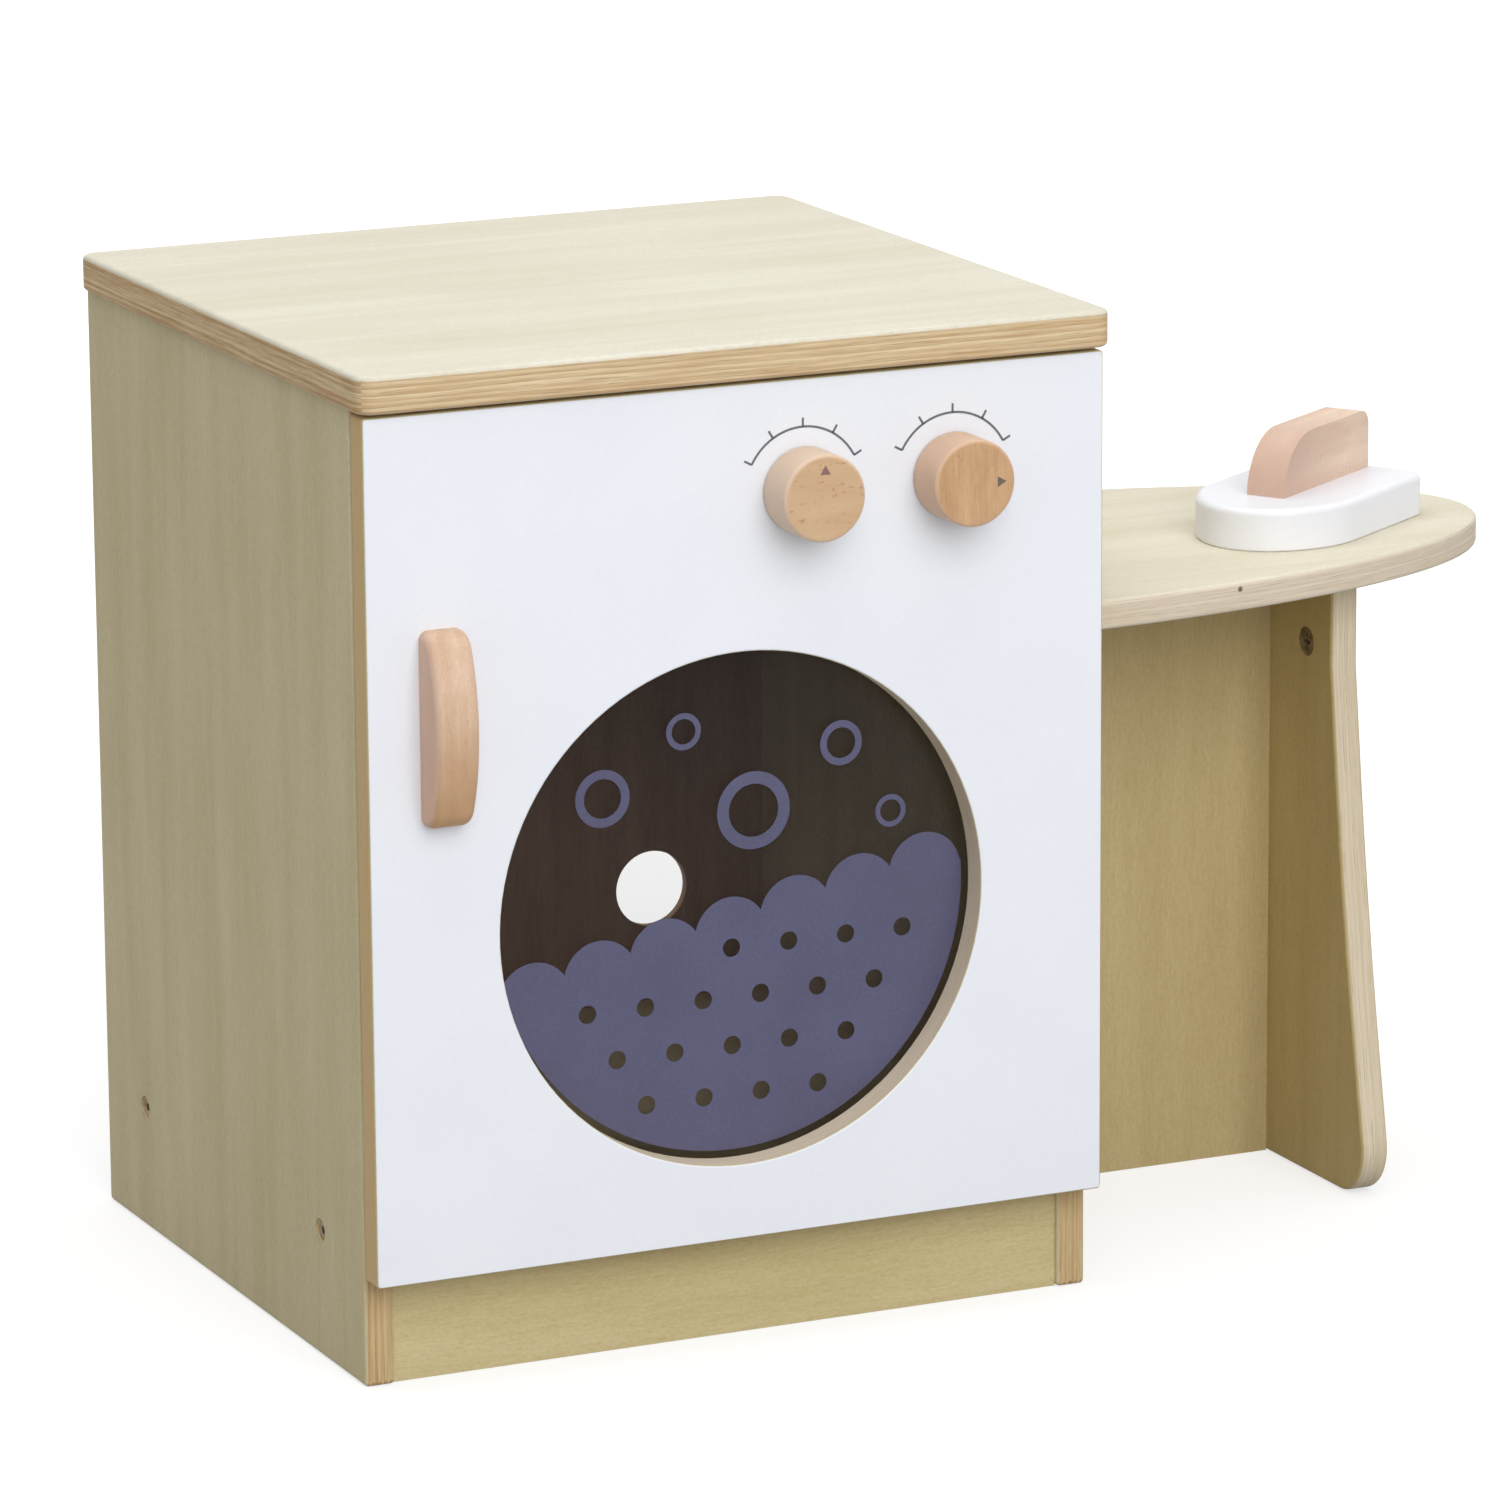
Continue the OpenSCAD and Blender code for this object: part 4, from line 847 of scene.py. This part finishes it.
@dataclass
class Iron:
    """The loose toy iron: a painted sole and a beech handle."""

    heel: Place = (292 * MM, 38.5 * MM, 331 * MM)
    turn: float = math.radians(34)
    sole_foot_round: float = 1.2 * MM
    sole_round: float = 3.5 * MM
    sole_t: float = 21.5 * MM
    grip_inset: float = 6 * MM
    grip_l: float = 93 * MM
    grip_w: float = 21 * MM
    grip_h: float = 30.5 * MM
    heel_round: float = 8 * MM
    grip_round: float = 2.5 * MM

    def build_sole(self) -> None:
        """Builds the white sole, whose upper edge is rounder than its lower one."""
        mesh = RoundedBoard("iron_body", Axis.Z, self.sole_foot_round, outline=True, square_at=((Axis.Z, 1),)).make()
        RoundedBoard("iron_body", Axis.Z, self.sole_round, outline=True, square_at=((Axis.Z, 0),),
                     segments=6).round_off(mesh)
        Piece("iron_sole", mesh, WallPaint("Sprayed white paint, iron", "#eeeff4", "#e9ebf1").make(),
              Body.IRON, Slot.PAINTED, ("iron_body",)).place()

    def build_grip(self) -> None:
        """Builds the handle: a quarter round at the nose and a small round at the heel."""
        lo = Vector((-self.grip_inset - self.grip_l, -self.grip_w / 2, self.sole_t))
        hi = Vector((-self.grip_inset, self.grip_w / 2, self.sole_t + self.grip_h))
        mesh = block(lo, hi)
        top = [e for e in mesh.edges if on_plane(e, Axis.Z, hi.z)]
        soften(mesh, [e for e in top if on_plane(e, Axis.X, hi.x)], self.heel_round, 8)
        nose = [e for e in mesh.edges if on_plane(e, Axis.Z, hi.z) and on_plane(e, Axis.X, lo.x)]
        soften(mesh, nose, self.grip_h - 4 * MERGE, 32)
        sides = [e for e in mesh.edges if (on_plane(e, Axis.Y, lo.y) or on_plane(e, Axis.Y, hi.y))
                 and not on_plane(e, Axis.Z, lo.z)]
        soften(mesh, sides, self.grip_round, 5)
        bmesh.ops.rotate(mesh, cent=(0, 0, 0), matrix=Matrix.Rotation(self.turn, 3, "Z"), verts=mesh.verts)
        bmesh.ops.translate(mesh, vec=self.heel, verts=mesh.verts)
        beech = SandedBeech("Sanded beech, iron handle", Axis.X, Axis.Z, pale="#ead3be", dark="#d9bba5",
                        fleck_share=0.4, shift=9.0, turn=-self.turn, shaded_end="#caaa99")
        Piece("iron_grip", mesh, beech.make(*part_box("iron_handle")), Body.IRON, Slot.BEECH,
              ("iron_handle",)).place()


@dataclass
class Hardware:
    """Screws, locks, hinges and the catch, which keep their own solids."""

    def dress(self) -> None:
        """Gives each fixing its metal, plastic or felt."""
        dress(TurnedMetal("Galvanised steel", "#c9ccd0", "#a9acb1").make(), "back_screws", "kick_screws",
              "pane_screws", "handle_screws", "top_cam_bolts", "leg_cam_bolts", "catch_screws", "strike_plate",
              "strike_screws", "hinge_pins", "iron_screws", "knob_left_bolt", "knob_right_bolt",
              "knob_left_washer", "knob_right_washer")
        dress(TurnedMetal("Die-cast zinc, dulled", "#a0957f", "#7b705b", rough=0.5).make(), "top_cams",
              "leg_cams", "shelf_screws", "board_screws", "spine_screws", "leg_screws")
        dress(TurnedMetal("Pressed brass", "#d3bd8c", "#bfa571", rough=0.36).make(), "hinge_frame_leaves",
              "hinge_door_leaves", "hinge_frame_screws", "hinge_door_screws", "knob_left_insert",
              "knob_right_insert")
        dress(TurnedMetal("Sintered magnet", "#6d6f74", "#505257", rough=0.5).make(), "catch_magnet")
        dress(MouldedPlastic("Moulded nylon, cream", "#ece6d6", "#e0d8c4").make(), "catch_body",
              "knob_left_spacer", "knob_right_spacer")
        dress(SandedBeech("Turned beech dowel", Axis.Z, Axis.X, shift=13.0).make(*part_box("top_dowels")), "top_dowels")
        dress(PressedFelt("Pressed grey felt").make(), "door_bumpers")


@dataclass(frozen=True)
class Lamp:
    """A soft box: a square area lamp that looks at the object."""

    name: str
    place: Place
    size: float
    watts: float
    aim: Place = (0.0, 0.0, 0.25)

    def hang(self) -> None:
        """Hangs the lamp in the studio."""
        data = bpy.data.lights.new(self.name, "AREA")
        data.shape = "SQUARE"
        data.size = self.size
        data.energy = self.watts
        lamp = bpy.data.objects.new(self.name, data)
        look = Vector(self.aim) - Vector(self.place)
        lamp.location = self.place
        lamp.rotation_euler = look.to_track_quat("-Z", "Y").to_euler()
        bpy.context.scene.collection.objects.link(lamp)


@dataclass
class Studio:
    """The pale floor, the soft lamps, the white surroundings and the camera."""

    lens: float = 193.793
    sensor: float = 36.0
    eye: Place = (-1.68971, -3.53083, 1.17901)
    azimuth: float = 24.6546
    dip: float = 13.4849
    roll: float = -0.4012
    sky: float = 0.46
    floor_colour: str = "#b0b0b0"
    floor_glow: float = 0.66
    floor_ring: tuple[float, float] = (0.5, 2.6)
    floor_size: float = 14.0
    lamps: tuple[Lamp, ...] = (
        Lamp("Soft box, front", (-0.3, -3.4, 2.3), 3.1, 95.0),
        Lamp("Soft box, above", (-0.2, 0.3, 3.0), 2.6, 39.0),
    )

    def seen(self, g: Graph) -> bpy.types.NodeSocket:
        """Gives one for rays that show a background: from the eye, in a reflection or through a pane."""
        rays = g.add("LightPath").node.outputs
        straight = g.add("Math", {0: rays["Is Camera Ray"], 1: rays["Is Glossy Ray"]}, operation="MAXIMUM")
        shown = g.add("Math", {0: straight, 1: rays["Is Transmission Ray"]}, operation="MAXIMUM")
        # A ray that has left a matt surface carries light, whatever it passes through later
        unscattered = g.add("Math", {0: rays["Diffuse Depth"], 1: 0.5}, operation="LESS_THAN")
        return g.add("Math", {0: shown, 1: unscattered}, operation="MULTIPLY")

    def lay_floor(self) -> None:
        """Lays the floor, which keeps the object's shadow."""
        mesh = bmesh.new()
        bmesh.ops.create_grid(mesh, x_segments=1, y_segments=1, size=self.floor_size)
        bmesh.ops.translate(mesh, vec=(0, 0, -0.2 * MM), verts=mesh.verts)
        data = bpy.data.meshes.new("floor")
        mesh.to_mesh(data)
        mesh.free()
        g = Graph(bpy.data.materials.new("Pale paper floor"))
        matt = g.add("BsdfDiffuse", {"Color": srgb(self.floor_colour)})
        # The paper is lit evenly far off, so its own glow makes up for the lamps' falling away
        reach = g.add("VectorMath", {0: g.add("TexCoord", output="Object")}, output="Value", operation="LENGTH")
        glow_here = g.spread(reach, *self.floor_ring, self.floor_glow, 1.0)
        share = g.add("Math", {0: self.seen(g), 1: glow_here}, operation="MULTIPLY")
        glow = g.add("Emission", {"Color": srgb("#ffffff"), "Strength": share})
        data.materials.append(g.close(g.add("AddShader", {0: matt, 1: glow})))
        floor = bpy.data.objects.new("floor", data)
        bpy.context.scene.collection.objects.link(floor)

    def light(self) -> None:
        """Hangs the lamps and sets the surroundings: white to the eye, dimmer as light."""
        for lamp in self.lamps:
            lamp.hang()
        world = bpy.data.worlds.new("Studio")
        bpy.context.scene.world = world
        g = Graph(world)
        dim = g.add("Background", {"Color": srgb("#ffffff"), "Strength": self.sky})
        white = g.add("Background", {"Color": srgb("#ffffff"), "Strength": 1.0})
        mixed = g.add("MixShader", {0: self.seen(g), 1: dim, 2: white})
        g.add("OutputWorld", {"Surface": mixed})
        bpy.context.scene.view_settings.view_transform = "Standard"

    def set_camera(self) -> None:
        """Puts the camera at the photograph's angle, for an image of 1500 by 1500."""
        data = bpy.data.cameras.new("camera")
        data.lens = self.lens
        data.sensor_width = self.sensor
        data.clip_end = 60.0
        camera = bpy.data.objects.new("camera", data)
        turn = (Matrix.Rotation(-math.radians(self.azimuth), 4, "Z")
                @ Matrix.Rotation(math.radians(90 - self.dip), 4, "X")
                @ Matrix.Rotation(math.radians(self.roll), 4, "Z"))
        camera.matrix_world = Matrix.Translation(self.eye) @ turn
        bpy.context.scene.collection.objects.link(camera)
        bpy.context.scene.camera = camera


def main() -> None:
    """Builds every sub-assembly in order, then the studio."""
    logging.basicConfig(level=logging.INFO, format="%(name)s %(message)s")
    cabinet = Cabinet()
    cabinet.build_top()
    cabinet.build_sides()
    cabinet.dress_inside()
    door = Door()
    door.build_panel()
    door.build_handle()
    door.build_dials()
    door.dress_window()
    for knob in (
        Knob("knob_left", Body.KNOB_LEFT, door.dial_xs[0],
             SandedBeech("Turned beech, left knob", Axis.X, Axis.Y, pale="#d6b591", dark="#caa680", band=11.0,
                         fleck="#ad7a5c", fleck_share=0.7, fleck_size=(3.4, 1.7), shift=17.0, flank_highlight="#e2ccb8",
                         turned=True), 0.0, ScreenInk("Screen ink, pointer rust", "#8f6a68", "#7f5b5a")),
        Knob("knob_right", Body.KNOB_RIGHT, door.dial_xs[1],
             SandedBeech("Turned beech, right knob", Axis.Z, Axis.Y, pale="#d6b288", dark="#b98c66", band=9.0,
                         fleck_share=0.35, shift=19.0, flank_highlight="#dcbda6", turned=True), math.pi / 2,
             ScreenInk("Screen ink, pointer umber", "#6f6155", "#5f5248")),
    ):
        knob.build()
        knob.build_pointer()
    SideTable().build()
    iron = Iron()
    iron.build_sole()
    iron.build_grip()
    Hardware().dress()
    studio = Studio()
    studio.lay_floor()
    studio.light()
    studio.set_camera()


if __name__ == "__main__":
    main()
